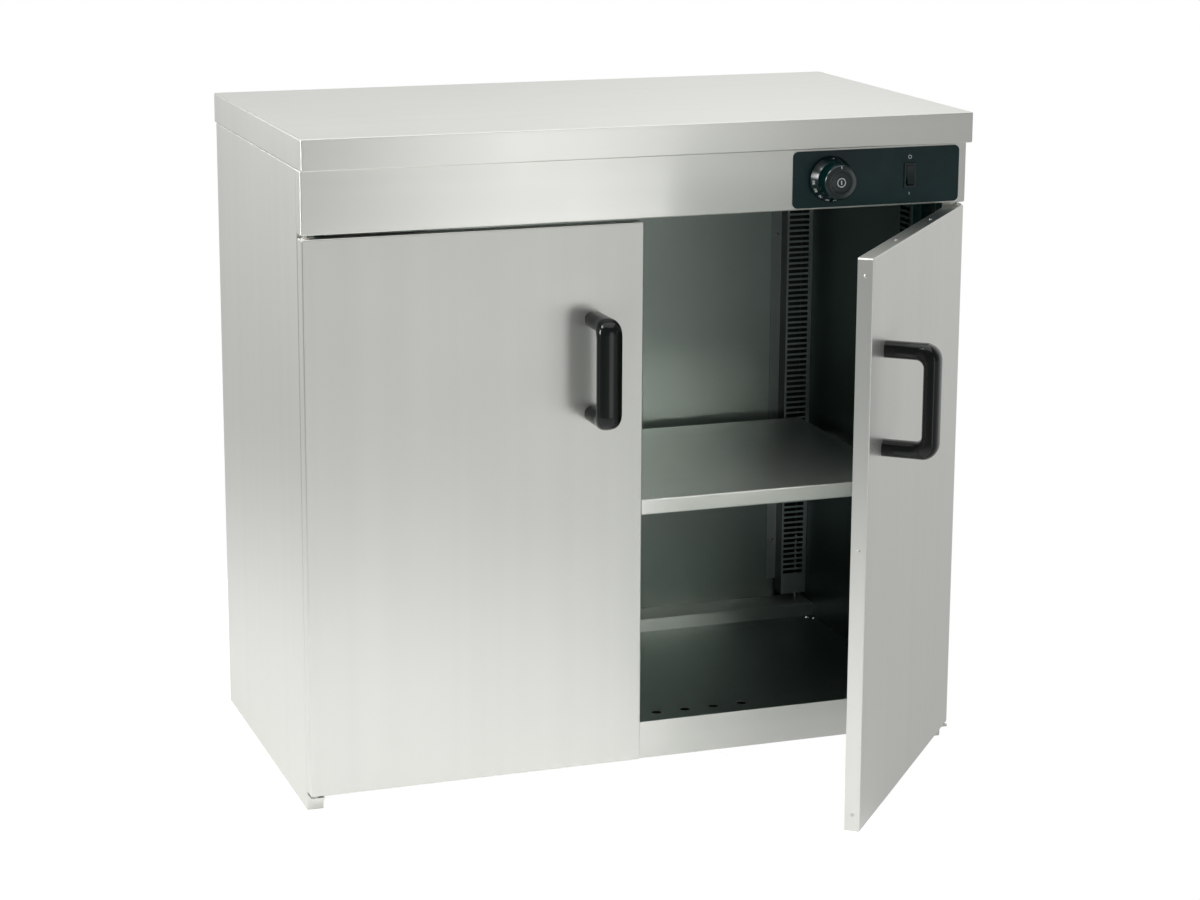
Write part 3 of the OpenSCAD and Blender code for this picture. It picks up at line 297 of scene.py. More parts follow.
def add_node(tree, kind, inputs=None, **fields):
    """A new node with its fields set and its inputs fed."""
    made = tree.nodes.new(kind)
    for field, value in fields.items():
        setattr(made, field, value)
    for socket, value in (inputs or {}).items():
        feed(tree, made.inputs[socket], value)
    return made


def soft_step(tree, value, start, end):
    """A soft step from 0 to 1 as a value runs from the start to the end."""
    return add_node(tree, "ShaderNodeMapRange", {"Value": value, "From Min": start, "From Max": end},
                    interpolation_type="SMOOTHSTEP")


def blend_value(tree, operation, first, second):
    """One arithmetic step between nodes, sockets or plain numbers."""
    return add_node(tree, "ShaderNodeMath", {0: first, 1: second}, operation=operation)


def level_between(tree, share, low, high):
    """Runs from a low to a high level with a share from 0 to 1."""
    return blend_value(tree, "ADD", blend_value(tree, "MULTIPLY", share, high - low), low)


def coordinates(tree, output):
    """The X, Y and Z sockets of one kind of texture coordinates."""
    coords = add_node(tree, "ShaderNodeTexCoord")
    return add_node(tree, "ShaderNodeSeparateXYZ", {"Vector": coords.outputs[output]}).outputs


def tint(colour, share):
    return (*[channel * share for channel in colour], 1.0)


def blank_material(name, values):
    """A material that holds only a principled shader, with constant values on its own sockets."""
    material = bpy.data.materials.new(name)
    material.use_nodes = True
    shader = material.node_tree.nodes["Principled BSDF"]
    for socket, value in values.items():
        shader.inputs[socket].default_value = value
    return material, material.node_tree, shader


def varied_colour(tree, shader, pattern, colour, low, high):
    """Runs the base colour from a darker to a lighter tone along a pattern."""
    ramp = add_node(tree, "ShaderNodeValToRGB", {"Fac": pattern})
    darker, lighter = ramp.color_ramp.elements
    darker.position = 0.3
    darker.color = tint(colour, low)
    lighter.position = 0.7
    lighter.color = tint(colour, high)
    feed(tree, shader.inputs["Base Color"], ramp)


def varied_roughness(tree, shader, pattern, roughness, spread):
    span = add_node(tree, "ShaderNodeMapRange", {
        "Value": pattern, "To Min": roughness - spread, "To Max": roughness + spread})
    feed(tree, shader.inputs["Roughness"], span)


def bumped(tree, shader, height, strength, distance):
    bump = add_node(tree, "ShaderNodeBump", {"Height": height, "Strength": strength, "Distance": distance})
    feed(tree, shader.inputs["Normal"], bump)


def grain_noise(tree, across, along, detail):
    """Noise drawn out along the sheet's grain."""
    coords = add_node(tree, "ShaderNodeUVMap", uv_map=GRAIN_MAP)
    mapping = add_node(tree, "ShaderNodeMapping", {"Vector": coords, "Scale": (across, along, 1)})
    return add_node(tree, "ShaderNodeTexNoise", {"Vector": mapping, "Scale": 1, "Detail": detail},
                    noise_dimensions="2D")


def solid_noise(tree, scale, detail):
    place = add_node(tree, "ShaderNodeTexCoord").outputs["Object"]
    return add_node(tree, "ShaderNodeTexNoise", {"Vector": place, "Scale": scale, "Detail": detail})


# Finishes

def satin_steel(name, colour, roughness, anisotropy):
    """Brushed sheet: broad bands and fine scratches along the grain, faint handling marks."""
    material, tree, shader = blank_material(name, {"Metallic": 1, "Anisotropic": anisotropy})
    tangent = add_node(tree, "ShaderNodeTangent", direction_type="UV_MAP", uv_map=GRAIN_MAP)
    feed(tree, shader.inputs["Tangent"], tangent)
    bands = grain_noise(tree, across=34, along=0.4, detail=2)
    scratches = grain_noise(tree, across=900, along=9, detail=3)
    smudges = solid_noise(tree, scale=7, detail=3)
    varied_colour(tree, shader, bands, colour, low=0.988, high=1.01)
    varied_roughness(tree, shader, smudges, roughness, spread=0.025)
    bumped(tree, shader, scratches, strength=0.02, distance=0.05 * MM)
    return material


def plain_steel(name, colour, roughness):
    """Sheet or plated steel for small pieces, mottled instead of brushed."""
    material, tree, shader = blank_material(name, {"Metallic": 1})
    varied_colour(tree, shader, solid_noise(tree, scale=60, detail=3), colour, low=0.9, high=1.05)
    varied_roughness(tree, shader, solid_noise(tree, scale=25, detail=2), roughness, spread=0.06)
    return material


def heated_steel(name, colour):
    """Element sheath, tinted in patches by heat."""
    material, tree, shader = blank_material(name, {"Metallic": 1})
    varied_colour(tree, shader, solid_noise(tree, scale=18, detail=4), colour, low=0.6, high=1.25)
    varied_roughness(tree, shader, solid_noise(tree, scale=30, detail=2), roughness=0.5, spread=0.1)
    return material


def moulding(name, colour, roughness, texture, depth, ior=1.5):
    """Moulded plastic with a fine surface texture."""
    material, tree, shader = blank_material(name, {"IOR": ior})
    varied_colour(tree, shader, solid_noise(tree, scale=40, detail=3), colour, low=0.85, high=1.1)
    varied_roughness(tree, shader, solid_noise(tree, scale=14, detail=3), roughness, spread=roughness * 0.2)
    bumped(tree, shader, solid_noise(tree, texture, detail=2), strength=0.15, distance=depth)
    return material


def mineral_wool(name, colour):
    """Soft fibre batt."""
    material, tree, shader = blank_material(name, {"Sheen Weight": 0.3})
    varied_colour(tree, shader, solid_noise(tree, scale=90, detail=5), colour, low=0.75, high=1.1)
    varied_roughness(tree, shader, solid_noise(tree, scale=50, detail=2), roughness=0.9, spread=0.05)
    bumped(tree, shader, solid_noise(tree, scale=160, detail=6), strength=0.6, distance=2 * MM)
    return material


def shaded(material, output, pattern):
    """Paints shade into a material's base colour by scaling it with a pattern worked out from one kind of
    coordinates.
    """
    tree = material.node_tree
    base = tree.nodes["Principled BSDF"].inputs["Base Color"]
    scaled = add_node(tree, "ShaderNodeVectorMath", {
        0: base.links[0].from_socket, "Scale": pattern(tree, coordinates(tree, output))}, operation="SCALE")
    feed(tree, base, scaled)
    return material


def liner_shade(tree, place):
    """Painted shade on the back liner: darker behind the uprights, and darker below the shelf where the shelf
    shades it.
    """
    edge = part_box("right_rear_upright")[0].x
    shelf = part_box("shelf")[0].z
    side = blend_value(tree, "ABSOLUTE", place["X"], 0)
    clear = soft_step(tree, side, edge + BEHIND_UPRIGHT_SHADE_START, edge + BEHIND_UPRIGHT_SHADE_END)
    above = soft_step(tree, place["Z"], shelf - BELOW_SHELF_SHADE_REACH, shelf + BELOW_SHELF_SHADE_REACH)
    return blend_value(tree, "MULTIPLY", level_between(tree, clear, SHADE_SHARE, 1),
                       level_between(tree, above, BELOW_SHELF_SHADE_SHARE, 1))


def upright_shade(tree, facing):
    """Painted shade on the uprights: full colour on the front, darker on the sides and inside, where shade
    falls.
    """
    return level_between(tree, soft_step(tree, facing["Y"], UPRIGHT_SIDE, UPRIGHT_FRONT), SHADE_SHARE, 1)


def make_finishes():
    """One material for each finish on the cupboard, some of them with painted shade in their colour."""
    sheet = settings("sheet")
    control = settings("control")
    outer = (sheet.outer_roughness, sheet.outer_anisotropy)
    inner = (sheet.inner_roughness, sheet.inner_anisotropy)
    deck = (sheet.deck_roughness, sheet.inner_anisotropy)
    back = satin_steel("back_satin_steel", sheet.back_colour, *inner)
    upright = satin_steel("upright_satin_steel", sheet.upright_colour, *inner)
    handle = settings("handle").colour
    return {
        "outer_steel": satin_steel("outer_satin_steel", sheet.outer_colour, *outer),
        "inner_steel": satin_steel("inner_satin_steel", sheet.inner_colour, *inner),
        # Painted shade: near-black sheet for the side liners, the front uprights and the base pan's top
        "painted_shade_steel": satin_steel("dark_satin_steel", sheet.painted_shade_colour, *inner),
        # Back liner: its own colour with painted shade behind the uprights and below the shelf
        "back_steel_painted_shade": shaded(back, "Object", liner_shade),
        # Rear uprights: their own colour with painted shade on the sides and inside
        "upright_steel_painted_shade": shaded(upright, "Normal", upright_shade),
        # Deck top: polished, with its colour painted darker for shade
        "polished_steel": satin_steel("polished_steel", sheet.deck_top_shade_colour, *deck),
        "hidden_steel": plain_steel("mill_steel", (0.5, 0.5, 0.49), roughness=0.4),
        "fixings": plain_steel("bright_plating", (0.78, 0.78, 0.77), roughness=0.18),
        "rivet_steel": plain_steel("rivet_steel", (0.62, 0.63, 0.61), roughness=0.4),
        "tube_steel": plain_steel("dull_tube", (0.1, 0.1, 0.1), roughness=0.5),
        "element_sheath": heated_steel("heat_tinted_sheath", (0.12, 0.115, 0.11)),
        "insulation": mineral_wool("mineral_wool", (0.75, 0.66, 0.42)),
        "control_black": moulding("control_plate_black", control.plate_colour, 0.36, 900, 0.02 * MM, 1.35),
        "knob_black": moulding("knob_black", control.knob_colour, 0.2, 700, 0.02 * MM),
        "gloss_black": moulding("handle_black", handle, 0.15, 260, 0.01 * MM, 1.4),
        "matt_black": moulding("gland_black", (0.03, 0.03, 0.03), 0.6, 800, 0.05 * MM),
        "pale_insulator": moulding("pale_insulator", (0.82, 0.8, 0.74), 0.5, 500, 0.05 * MM),
        "lead_sheath": moulding("lead_sheath", (0.035, 0.035, 0.037), 0.5, 500, 0.05 * MM),
        "print": moulding("printed_mark", control.print_colour, 0.55, 900, 0.01 * MM),
    }


FINISHES = {}


# Pieces

def body_of(node):
    return NODES[node]["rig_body"]


def add_object(name, data):
    made = bpy.data.objects.new(name, data)
    bpy.context.scene.collection.objects.link(made)
    return made


def wear(mesh, finish):
    mesh.materials.clear()
    mesh.materials.append(FINISHES[finish])


def keep_nodes(finishes):
    """Leaves the nodes' own shapes in sight with their finishes."""
    for node, finish in finishes.items():
        wear(NODES[node].data, finish)


def place_piece(name, mesh, body, finish=None, nodes=()):
    """Puts a mesh in the scene as a piece that rides on a body, with a finish unless it has its own."""
    piece = add_object(name, mesh)
    if finish:
        wear(mesh, finish)
    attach(piece, body)
    if nodes:
        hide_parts(*nodes)
    return piece


def evaluated_mesh(piece):
    """A plain mesh of a piece with its modifiers worked in."""
    graph = bpy.context.evaluated_depsgraph_get()
    return bpy.data.meshes.new_from_object(
        piece.evaluated_get(graph), preserve_all_data_layers=True, depsgraph=graph)


def plain_mesh(bm, name):
    mesh = bpy.data.meshes.new(name)
    bm.to_mesh(mesh)
    bm.free()
    return mesh


def smooth_mesh(bm, name):
    """A mesh with its broad faces shaded flat and its folds shaded round."""
    for face in bm.faces:
        face.smooth = True
    mesh = plain_mesh(bm, name)
    mesh.set_sharp_from_angle(angle=SMOOTH_ANGLE)
    piece = add_object(name, mesh)
    weighted = piece.modifiers.new("Weighted normals", "WEIGHTED_NORMAL")
    weighted.keep_sharp = True
    finished = evaluated_mesh(piece)
    bpy.data.objects.remove(piece)
    bpy.data.meshes.remove(mesh)
    finished.name = name
    return finished


def replace_node(node, name, bm, finish):
    """Puts a smooth piece in for a node, on the same body, with the given finish."""
    return place_piece(name, smooth_mesh(bm, name), body_of(node), finish, [node])


def welded_copy(node):
    bm = bmesh.new()
    bm.from_mesh(NODES[node].data)
    bmesh.ops.remove_doubles(bm, verts=bm.verts, dist=WELD)
    return bm


def whole_faces(node):
    """The node's surface with its triangles merged into whole faces."""
    bm = welded_copy(node)
    bmesh.ops.dissolve_limit(bm, angle_limit=FLAT_ANGLE, verts=bm.verts, edges=bm.edges)
    return bm


def is_cut_edge(face, thickness):
    """True for a narrow face where the sheet was cut."""
    return 2 * face.calc_area() / face.calc_perimeter() < CUT_EDGE_THICKNESSES * thickness


def sharp_edges(bm):
    return [edge for edge in bm.edges if len(edge.link_faces) == 2 and edge.calc_face_angle(0) > BEND_ANGLE]


def folds(bm, thickness, convex):
    """Edges where two broad faces of the sheet meet."""
    found = []
    for edge in sharp_edges(bm):
        if edge.is_convex == convex and not any(is_cut_edge(face, thickness) for face in edge.link_faces):
            found.append(edge)
    return found


def round_edges(bm, edges, radius, steps):
    if edges:
        bmesh.ops.bevel(bm, geom=edges, offset=radius, offset_type="OFFSET", segments=steps, profile=0.5,
                        affect="EDGES", clamp_overlap=True)


def lay_grain(bm, grain):
    """Maps every face with its second axis along the grain, in metres."""
    layer = bm.loops.layers.uv.new(GRAIN_MAP)
    for face in bm.faces:
        normal = face.normal
        along = grain - normal * normal.dot(grain)
        if along.length < LEAST_GRAIN:
            spare = UPWARD if abs(normal.z) < FACING else DEPTH
            along = spare - normal * normal.dot(spare)
        along.normalize()
        across = along.cross(normal)
        for loop in face.loops:
            loop[layer].uv = (loop.vert.co.dot(across), loop.vert.co.dot(along))


def fold_sheet(node, grain, finish=None, top=None):
    """Replaces a node of folded sheet, with its folds rounded, its grain laid and a finish for its top."""
    sheet = settings("sheet")
    bm = whole_faces(node)
    round_edges(bm, folds(bm, sheet.thickness, True), sheet.bend, sheet.bend_steps)
    round_edges(bm, folds(bm, sheet.thickness, False), sheet.bend - sheet.thickness, sheet.bend_steps)
    lay_grain(bm, grain)
    piece = replace_node(node, node + "_folded", bm, finish or SLOT_OF[node])
    if top:
        # Up-facing faces take the top finish, which carries painted shade on the deck and the base pan
        piece.data.materials.append(FINISHES[top])
        for face in piece.data.polygons:
            face.material_index = int(face.normal.z > FACING)


def soften(node, finish, radius, steps=2):
    """Replaces a node with the same shape, its sharp edges rounded."""
    bm = whole_faces(node)
    round_edges(bm, sharp_edges(bm), radius, steps)
    lay_grain(bm, UPWARD)
    replace_node(node, node + "_softened", bm, finish)


def right_door_place():
    """Turns right-hand door pieces from shut to their rest angle."""
    hinge = JOINTS["right_door_hinge"]
    pivot = Matrix.Translation(Vector(hinge["pos_m"]))
    turn = Matrix.Rotation(-math.radians(hinge["range_deg"][0]), 4, "Z")
    return pivot @ turn @ pivot.inverted()


def bridge_rows(bm, row, after, steps):
    """Faces between two closed rows of points, or between a row and a single point."""
    for step in range(steps):
        ahead = (step + 1) % steps
        corners = (row[step % len(row)], row[ahead % len(row)],
                   after[ahead % len(after)], after[step % len(after)])
        bm.faces.new(dict.fromkeys(corners))


# Handles

def arc_points(centre, radius, start, end, steps):
    turns = [start + (end - start) * step / steps for step in range(steps + 1)]
    return [(centre[0] + radius * math.cos(turn), centre[1] + radius * math.sin(turn)) for turn in turns]


def bar_outline(reach, half, radius, steps):
    """One side of the handle in the plane of its legs: out, round, along, round and back."""
    quarter = math.pi / 2
    straight = [(reach - radius) * step / steps for step in range(steps)]
    upper = arc_points((reach - radius, half - radius), radius, quarter, 0, steps)
    lower = arc_points((reach - radius, radius - half), radius, 0, -quarter, steps)
    grip = [(reach, (half - radius) * (1 - 2 * step / steps)) for step in range(1, steps)]
    legs = [(out, half) for out in straight]
    return legs + upper + grip + lower + [(out, -rise) for out, rise in reversed(legs)]


def rounded_section(sides, squareness):
    """A closed superellipse of half-width and half-height 1."""
    power = 2 / squareness
    points = []
    for side in range(sides):
        turn = 2 * math.pi * side / sides
        cosine = math.cos(turn)
        sine = math.sin(turn)
        points.append((math.copysign(abs(cosine) ** power, cosine), math.copysign(abs(sine) ** power, sine)))
    return points


def eased(value, start, end):
    """Runs from 0 at the start to 1 at the end, gently at both."""
    share = min(max((value - start) / (end - start), 0), 1)
    return share * share * (3 - 2 * share)


def handle_mesh(low, high, shape):
    """A bar swept round its two legs, with its section drawn between an outer and an inner outline."""
    reach = high.y - low.y
    half = (high.z - low.z) / 2
    middle = (low + high) / 2
    outer = bar_outline(reach, half, shape.outer_radius, shape.steps)
    inner = bar_outline(reach - shape.grip, half - shape.leg, shape.inner_radius, shape.steps)
    section = rounded_section(shape.sides, shape.squareness)
    grip_half = (high.x - low.x) / 2
    leg_half = shape.leg_width / 2
    flare = reach - shape.flare * shape.outer_radius
    bm = bmesh.new()
    rings = []
    for (outer_out, outer_rise), (inner_out, inner_rise) in zip(outer, inner):
        out = (outer_out + inner_out) / 2
        rise = (outer_rise + inner_rise) / 2
        centre = Vector((middle.x, high.y - out, middle.z + rise))
        depth = Vector((0, (inner_out - outer_out) / 2, (outer_rise - inner_rise) / 2))
        half_width = leg_half + (grip_half - leg_half) * eased(outer_out, flare, reach)
        rings.append([bm.verts.new(centre + ACROSS * half_width * wide + depth * thick)
                      for wide, thick in section])
    for near, far in zip(rings, rings[1:]):
        bridge_rows(bm, near, far, shape.sides)
    bm.faces.new(rings[0])
    bm.faces.new(rings[-1])
    bmesh.ops.recalc_face_normals(bm, faces=bm.faces)
    return bm


class CUPBOARD_OT_handles(bpy.types.Operator):
    """Mould the two bar handles"""
    bl_idname = "cupboard.handles"
    bl_label = "Handles"

    def execute(self, context):
        low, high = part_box("left_door_handle")
        left = handle_mesh(low, high, settings("handle"))
        right = left.copy()
        shut_right = Matrix.Translation(ACROSS * -(low.x + high.x))
        bmesh.ops.transform(right, matrix=right_door_place() @ shut_right, verts=right.verts)
        for side, bm in (("left", left), ("right", right)):
            replace_node(side + "_door_handle", side + "_handle_moulding", bm, "gloss_black")
        return {"FINISHED"}


# Folded sheet

class CUPBOARD_OT_carcass(bpy.types.Operator):
    """Fold the worktop, the sides, the back and the fascia"""
    bl_idname = "cupboard.carcass"
    bl_label = "Carcass"

    def execute(self, context):
        fold_sheet("worktop", ACROSS)
        for panel in ("left_side_panel", "right_side_panel", "back_panel"):
            fold_sheet(panel, UPWARD)
        fold_sheet("fascia", ACROSS)
        keep_nodes({"worktop_stiffeners": "hidden_steel"})
        return {"FINISHED"}


class CUPBOARD_OT_cavity(bpy.types.Operator):
    """Fold the sheets round the warm cavity, with their uprights"""
    bl_idname = "cupboard.cavity"
    bl_label = "Cavity"

    def execute(self, context):
        for side in ("left", "right"):
            # The side liners are painted near black for shade
            fold_sheet(side + "_side_liner", UPWARD, "painted_shade_steel")
            # The rear uprights get painted shade on their sides and inside
            fold_sheet(side + "_rear_upright", UPWARD, "upright_steel_painted_shade")
            # The front uprights are painted near black for shade
            fold_sheet(side + "_front_upright", UPWARD, "painted_shade_steel")
        # The back liner gets painted shade behind the uprights and below the shelf
        fold_sheet("back_liner", UPWARD, "back_steel_painted_shade")
        fold_sheet("ceiling_panel", ACROSS)
        # The deck's top is polished, with a colour painted darker for shade
        fold_sheet("base_deck", ACROSS, "outer_steel", top="polished_steel")
        fold_sheet("rear_ledge", ACROSS, "outer_steel")
        # The base pan's top is painted near black for shade
        fold_sheet("base_pan", ACROSS, "hidden_steel", top="painted_shade_steel")
        keep_nodes({"wall_insulation": "insulation"})
        return {"FINISHED"}


class CUPBOARD_OT_shelf(bpy.types.Operator):
    """Fold the shelf and soften the clips that carry it"""
    bl_idname = "cupboard.shelf"
    bl_label = "Shelf"

    def execute(self, context):
        fold_sheet("shelf", ACROSS, "outer_steel")
        soften("shelf_clips", "fixings", radius=0.5 * MM)
        return {"FINISHED"}


class CUPBOARD_OT_doors(bpy.types.Operator):
    """Fold the skins and liners of both doors and finish what they hold"""
    bl_idname = "cupboard.doors"
    bl_label = "Doors"

    def execute(self, context):
        for side in ("left", "right"):
            fold_sheet(side + "_door_skin", UPWARD)
            fold_sheet(side + "_door_liner", UPWARD)
            keep_nodes({side + "_door_insulation": "insulation", side + "_door_bushes": "pale_insulator",
                        side + "_handle_screws": "fixings", side + "_catch_plate": "hidden_steel"})
        soften("pivot_lugs", "outer_steel", radius=0.4 * MM)
        keep_nodes({"pivot_pins": "fixings", "catch_magnets": "hidden_steel"})
        return {"FINISHED"}


# Controls

def turned_row(bm, centre, radius, lift, steps):
    """A circle of points about the front-to-back axis, or one point where the radius is 0."""
    if radius == 0:
        return [bm.verts.new(centre - DEPTH * lift)]
    row = []
    for step in range(steps):
        turn = 2 * math.pi * step / steps
        row.append(bm.verts.new(centre + Vector((radius * math.cos(turn), -lift, radius * math.sin(turn)))))
    return row


def flat_ring(bm, centre, outer, inner, thickness, steps):
    """A printed ring that faces the front."""
    profile = ((outer, 0), (outer, thickness), (inner, thickness), (inner, 0))
    rows = [turned_row(bm, centre, radius, lift, steps) for radius, lift in profile]
    for row, after in zip(rows, rows[1:] + rows[:1]):
        bridge_rows(bm, row, after, steps)


def flat_bar(bm, centre, width, height, thickness):
    """A printed bar with round ends that faces the front."""
    radius = width / 2
    rise = height / 2 - radius
    outline = arc_points((0, rise), radius, 0, math.pi, BAR_END_STEPS)
    outline += arc_points((0, -rise), radius, math.pi, 2 * math.pi, BAR_END_STEPS)
    near = [bm.verts.new(centre + Vector((x, 0, z))) for x, z in outline]
    far = [bm.verts.new(centre + Vector((x, -thickness, z))) for x, z in outline]
    bm.faces.new(near)
    bm.faces.new(far)
    bridge_rows(bm, near, far, len(outline))


def print_marks(bm, name, body):
    """Puts printed marks in the scene on a body."""
    bmesh.ops.recalc_face_normals(bm, faces=bm.faces)
    place_piece(name, plain_mesh(bm, name), body, "print")


def number_mesh(text, height, thickness):
    """A number as a thin mesh, centred on its own origin in the XY plane."""
    curve = bpy.data.curves.new("number", "FONT")
    curve.body = text
    curve.size = height
    curve.extrude = thickness / 2
    curve.align_x = "CENTER"
    curve.align_y = "CENTER"
    maker = add_object("number", curve)
    mesh = evaluated_mesh(maker)
    bpy.data.objects.remove(maker)
    bpy.data.curves.remove(curve)
    return mesh


class CUPBOARD_OT_control_plate(bpy.types.Operator):
    """Soften the control plate and print the on and off marks by the switch"""
    bl_idname = "cupboard.control_plate"
    bl_label = "Control plate"

    def execute(self, context):
        soften("control_plate", "control_black", radius=0.5 * MM, steps=3)
        control = settings("control")
        low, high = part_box("switch_housing")
        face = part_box("control_plate")[0].y
        middle = Vector(((low.x + high.x) / 2, face, (low.z + high.z) / 2))
        rise = UPWARD * control.mark_rise
        radius = control.mark_size / 2
        stroke = control.mark_size * MARK_STROKE_SHARE
        bar = control.mark_size * MARK_BAR_SHARE
        bm = bmesh.new()
        flat_ring(bm, middle + rise, radius, radius - stroke, control.print_thickness, steps=32)
        flat_bar(bm, middle - rise, stroke, bar, control.print_thickness)
        print_marks(bm, "switch_marks", "cabinet")
        return {"FINISHED"}


def revolved(profile, centre, steps):
    """A surface turned about the front-to-back axis, from radii and distances in front of the centre."""
    bm = bmesh.new()
    rows = [turned_row(bm, centre, radius, lift, steps) for radius, lift in profile]
    for row, after in zip(rows, rows[1:]):
        bridge_rows(bm, row, after, steps)
    bmesh.ops.recalc_face_normals(bm, faces=bm.faces)
    return bm


def rounded_profile(points, radius):
    """A profile whose inner corners are replaced by short curves."""
    made = [points[0]]
    for before, corner, after in zip(points, points[1:], points[2:]):
        corner = Vector(corner)
        back = Vector(before) - corner
        ahead = Vector(after) - corner
        reach = min(radius, back.length * CORNER_SHARE, ahead.length * CORNER_SHARE)
        start = corner + back.normalized() * reach
        end = corner + ahead.normalized() * reach
        for step in range(CORNER_STEPS + 1):
            share = step / CORNER_STEPS
            made.append(tuple(start * (1 - share) ** 2 + corner * 2 * share * (1 - share) + end * share ** 2))
    made.append(points[-1])
    return made


class CUPBOARD_OT_knob(bpy.types.Operator):
    """Turn the thermostat's knob and cap and print its scale"""
    bl_idname = "cupboard.knob"
    bl_label = "Knob"

    def execute(self, context):
        control = settings("control")
        low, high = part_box("knob")
        cap_low, cap_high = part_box("knob_cap")
        spindle_low, spindle_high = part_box("thermostat_spindle")
        centre = Vector(((low.x + high.x) / 2, high.y, (low.z + high.z) / 2))
        radius = (high.x - low.x) / 2
        height = high.y - low.y
        bore = (spindle_high.x - spindle_low.x) / 2
        skirt_top = radius - control.skirt_slope
        barrel = skirt_top - control.skirt_step
        cap_radius = (cap_high.x - cap_low.x) / 2
        cap_foot = height - (cap_high.y - cap_low.y)
        well = cap_radius + CAP_GAP
        knob = [
            (bore, 0), (radius, 0), (radius, control.skirt_rim), (skirt_top, control.skirt_height),
            (barrel, control.skirt_height + KNOB_STEP_RISE), (barrel - KNOB_TAPER, height - control.bevel),
            (barrel - control.bevel, height - KNOB_CREST_DROP),
            (well + KNOB_DISH_WIDTH, height - KNOB_DISH_DROP), (well, height - KNOB_SEAT_DROP),
            (well, cap_foot), (0, cap_foot)]
        cap = [
            (0, cap_foot), (cap_radius, cap_foot), (cap_radius, height - CAP_EDGE_DROP),
            (cap_radius * CAP_CROWN_SHARE, height - CAP_CROWN_DROP), (0, height - KNOB_CREST_DROP)]
        turned = (("knob", knob, KNOB_ROUNDING, KNOB_STEPS), ("knob_cap", cap, CAP_ROUNDING, CAP_STEPS))
        for node, profile, rounding, steps in turned:
            bm = revolved(rounded_profile(profile, rounding), centre, steps)
            replace_node(node, node + "_moulding", bm, "knob_black")
        bm = bmesh.new()
        self.print_scale(bm, centre, radius, skirt_top, control)
        self.print_front(bm, centre - DEPTH * (height - CAP_CROWN_DROP), barrel, control.print_thickness)
        print_marks(bm, "knob_scale", "knob")
        keep_nodes({"thermostat_spindle": "fixings"})
        return {"FINISHED"}

    def print_scale(self, bm, centre, radius, skirt_top, control):
        """Plain numbers and a tick on the sloping skirt."""
        thickness = control.print_thickness
        slope = math.atan2(radius - skirt_top, control.skirt_height - control.skirt_rim)
        ring = (radius + skirt_top) / 2
        lift = (control.skirt_height + control.skirt_rim) / 2
        seat = Matrix.Translation(centre)
        out = Matrix.Translation(Vector((0, -lift, ring + thickness * PRINT_PROUD_SHARE)))
        flat_bar(bm, Vector(), SKIRT_TICK_WIDTH, control.number_height * SKIRT_TICK_SHARE, thickness)
        lean = Matrix.Rotation(math.pi / 2 - slope, 4, "X")
        bmesh.ops.transform(bm, matrix=seat @ out @ lean, verts=bm.verts)
        for index in range(control.number_count):
            mesh = number_mesh(str(NUMBER_UNIT * (index + 1)), control.number_height, thickness)
            turn = Matrix.Rotation(control.number_start + control.number_step * index, 4, "Y")
            mesh.transform(seat @ turn @ out @ Matrix.Rotation(slope, 4, "X"))
            bm.from_mesh(mesh)
            bpy.data.meshes.remove(mesh)

    def print_front(self, bm, face, barrel, thickness):
        """A tick by the rim of the front and a plain ring with a bar on the cap."""
        tick = face + UPWARD * (barrel - FRONT_TICK_INSET)
        flat_bar(bm, tick, FRONT_TICK_WIDTH, FRONT_TICK_HEIGHT, thickness)
        flat_ring(bm, face, CAP_RING_OUTER, CAP_RING_INNER, thickness, steps=48)
        flat_bar(bm, face, CAP_BAR_WIDTH, CAP_BAR_HEIGHT, thickness)


class CUPBOARD_OT_switch(bpy.types.Operator):
    """Soften the switch's housing and its rocker"""
    bl_idname = "cupboard.switch"
    bl_label = "Switch"

    def execute(self, context):
        soften("switch_housing", "knob_black", radius=0.5 * MM, steps=3)
        soften("rocker", "knob_black", radius=0.6 * MM, steps=3)
        return {"FINISHED"}


# Fasteners

def solids_of(node):
    """Lowest and highest corner of each separate solid in a node."""
    bm = welded_copy(node)
    unseen = set(bm.verts)
    found = []
    while unseen:
        group = [unseen.pop()]
        for vert in group:
            for edge in vert.link_edges:
                other = edge.other_vert(vert)
                if other in unseen:
                    unseen.remove(other)
                    group.append(other)
        low = Vector([min(vert.co[axis] for vert in group) for axis in range(3)])
        high = Vector([max(vert.co[axis] for vert in group) for axis in range(3)])
        found.append((low, high))
    bm.free()
    return found


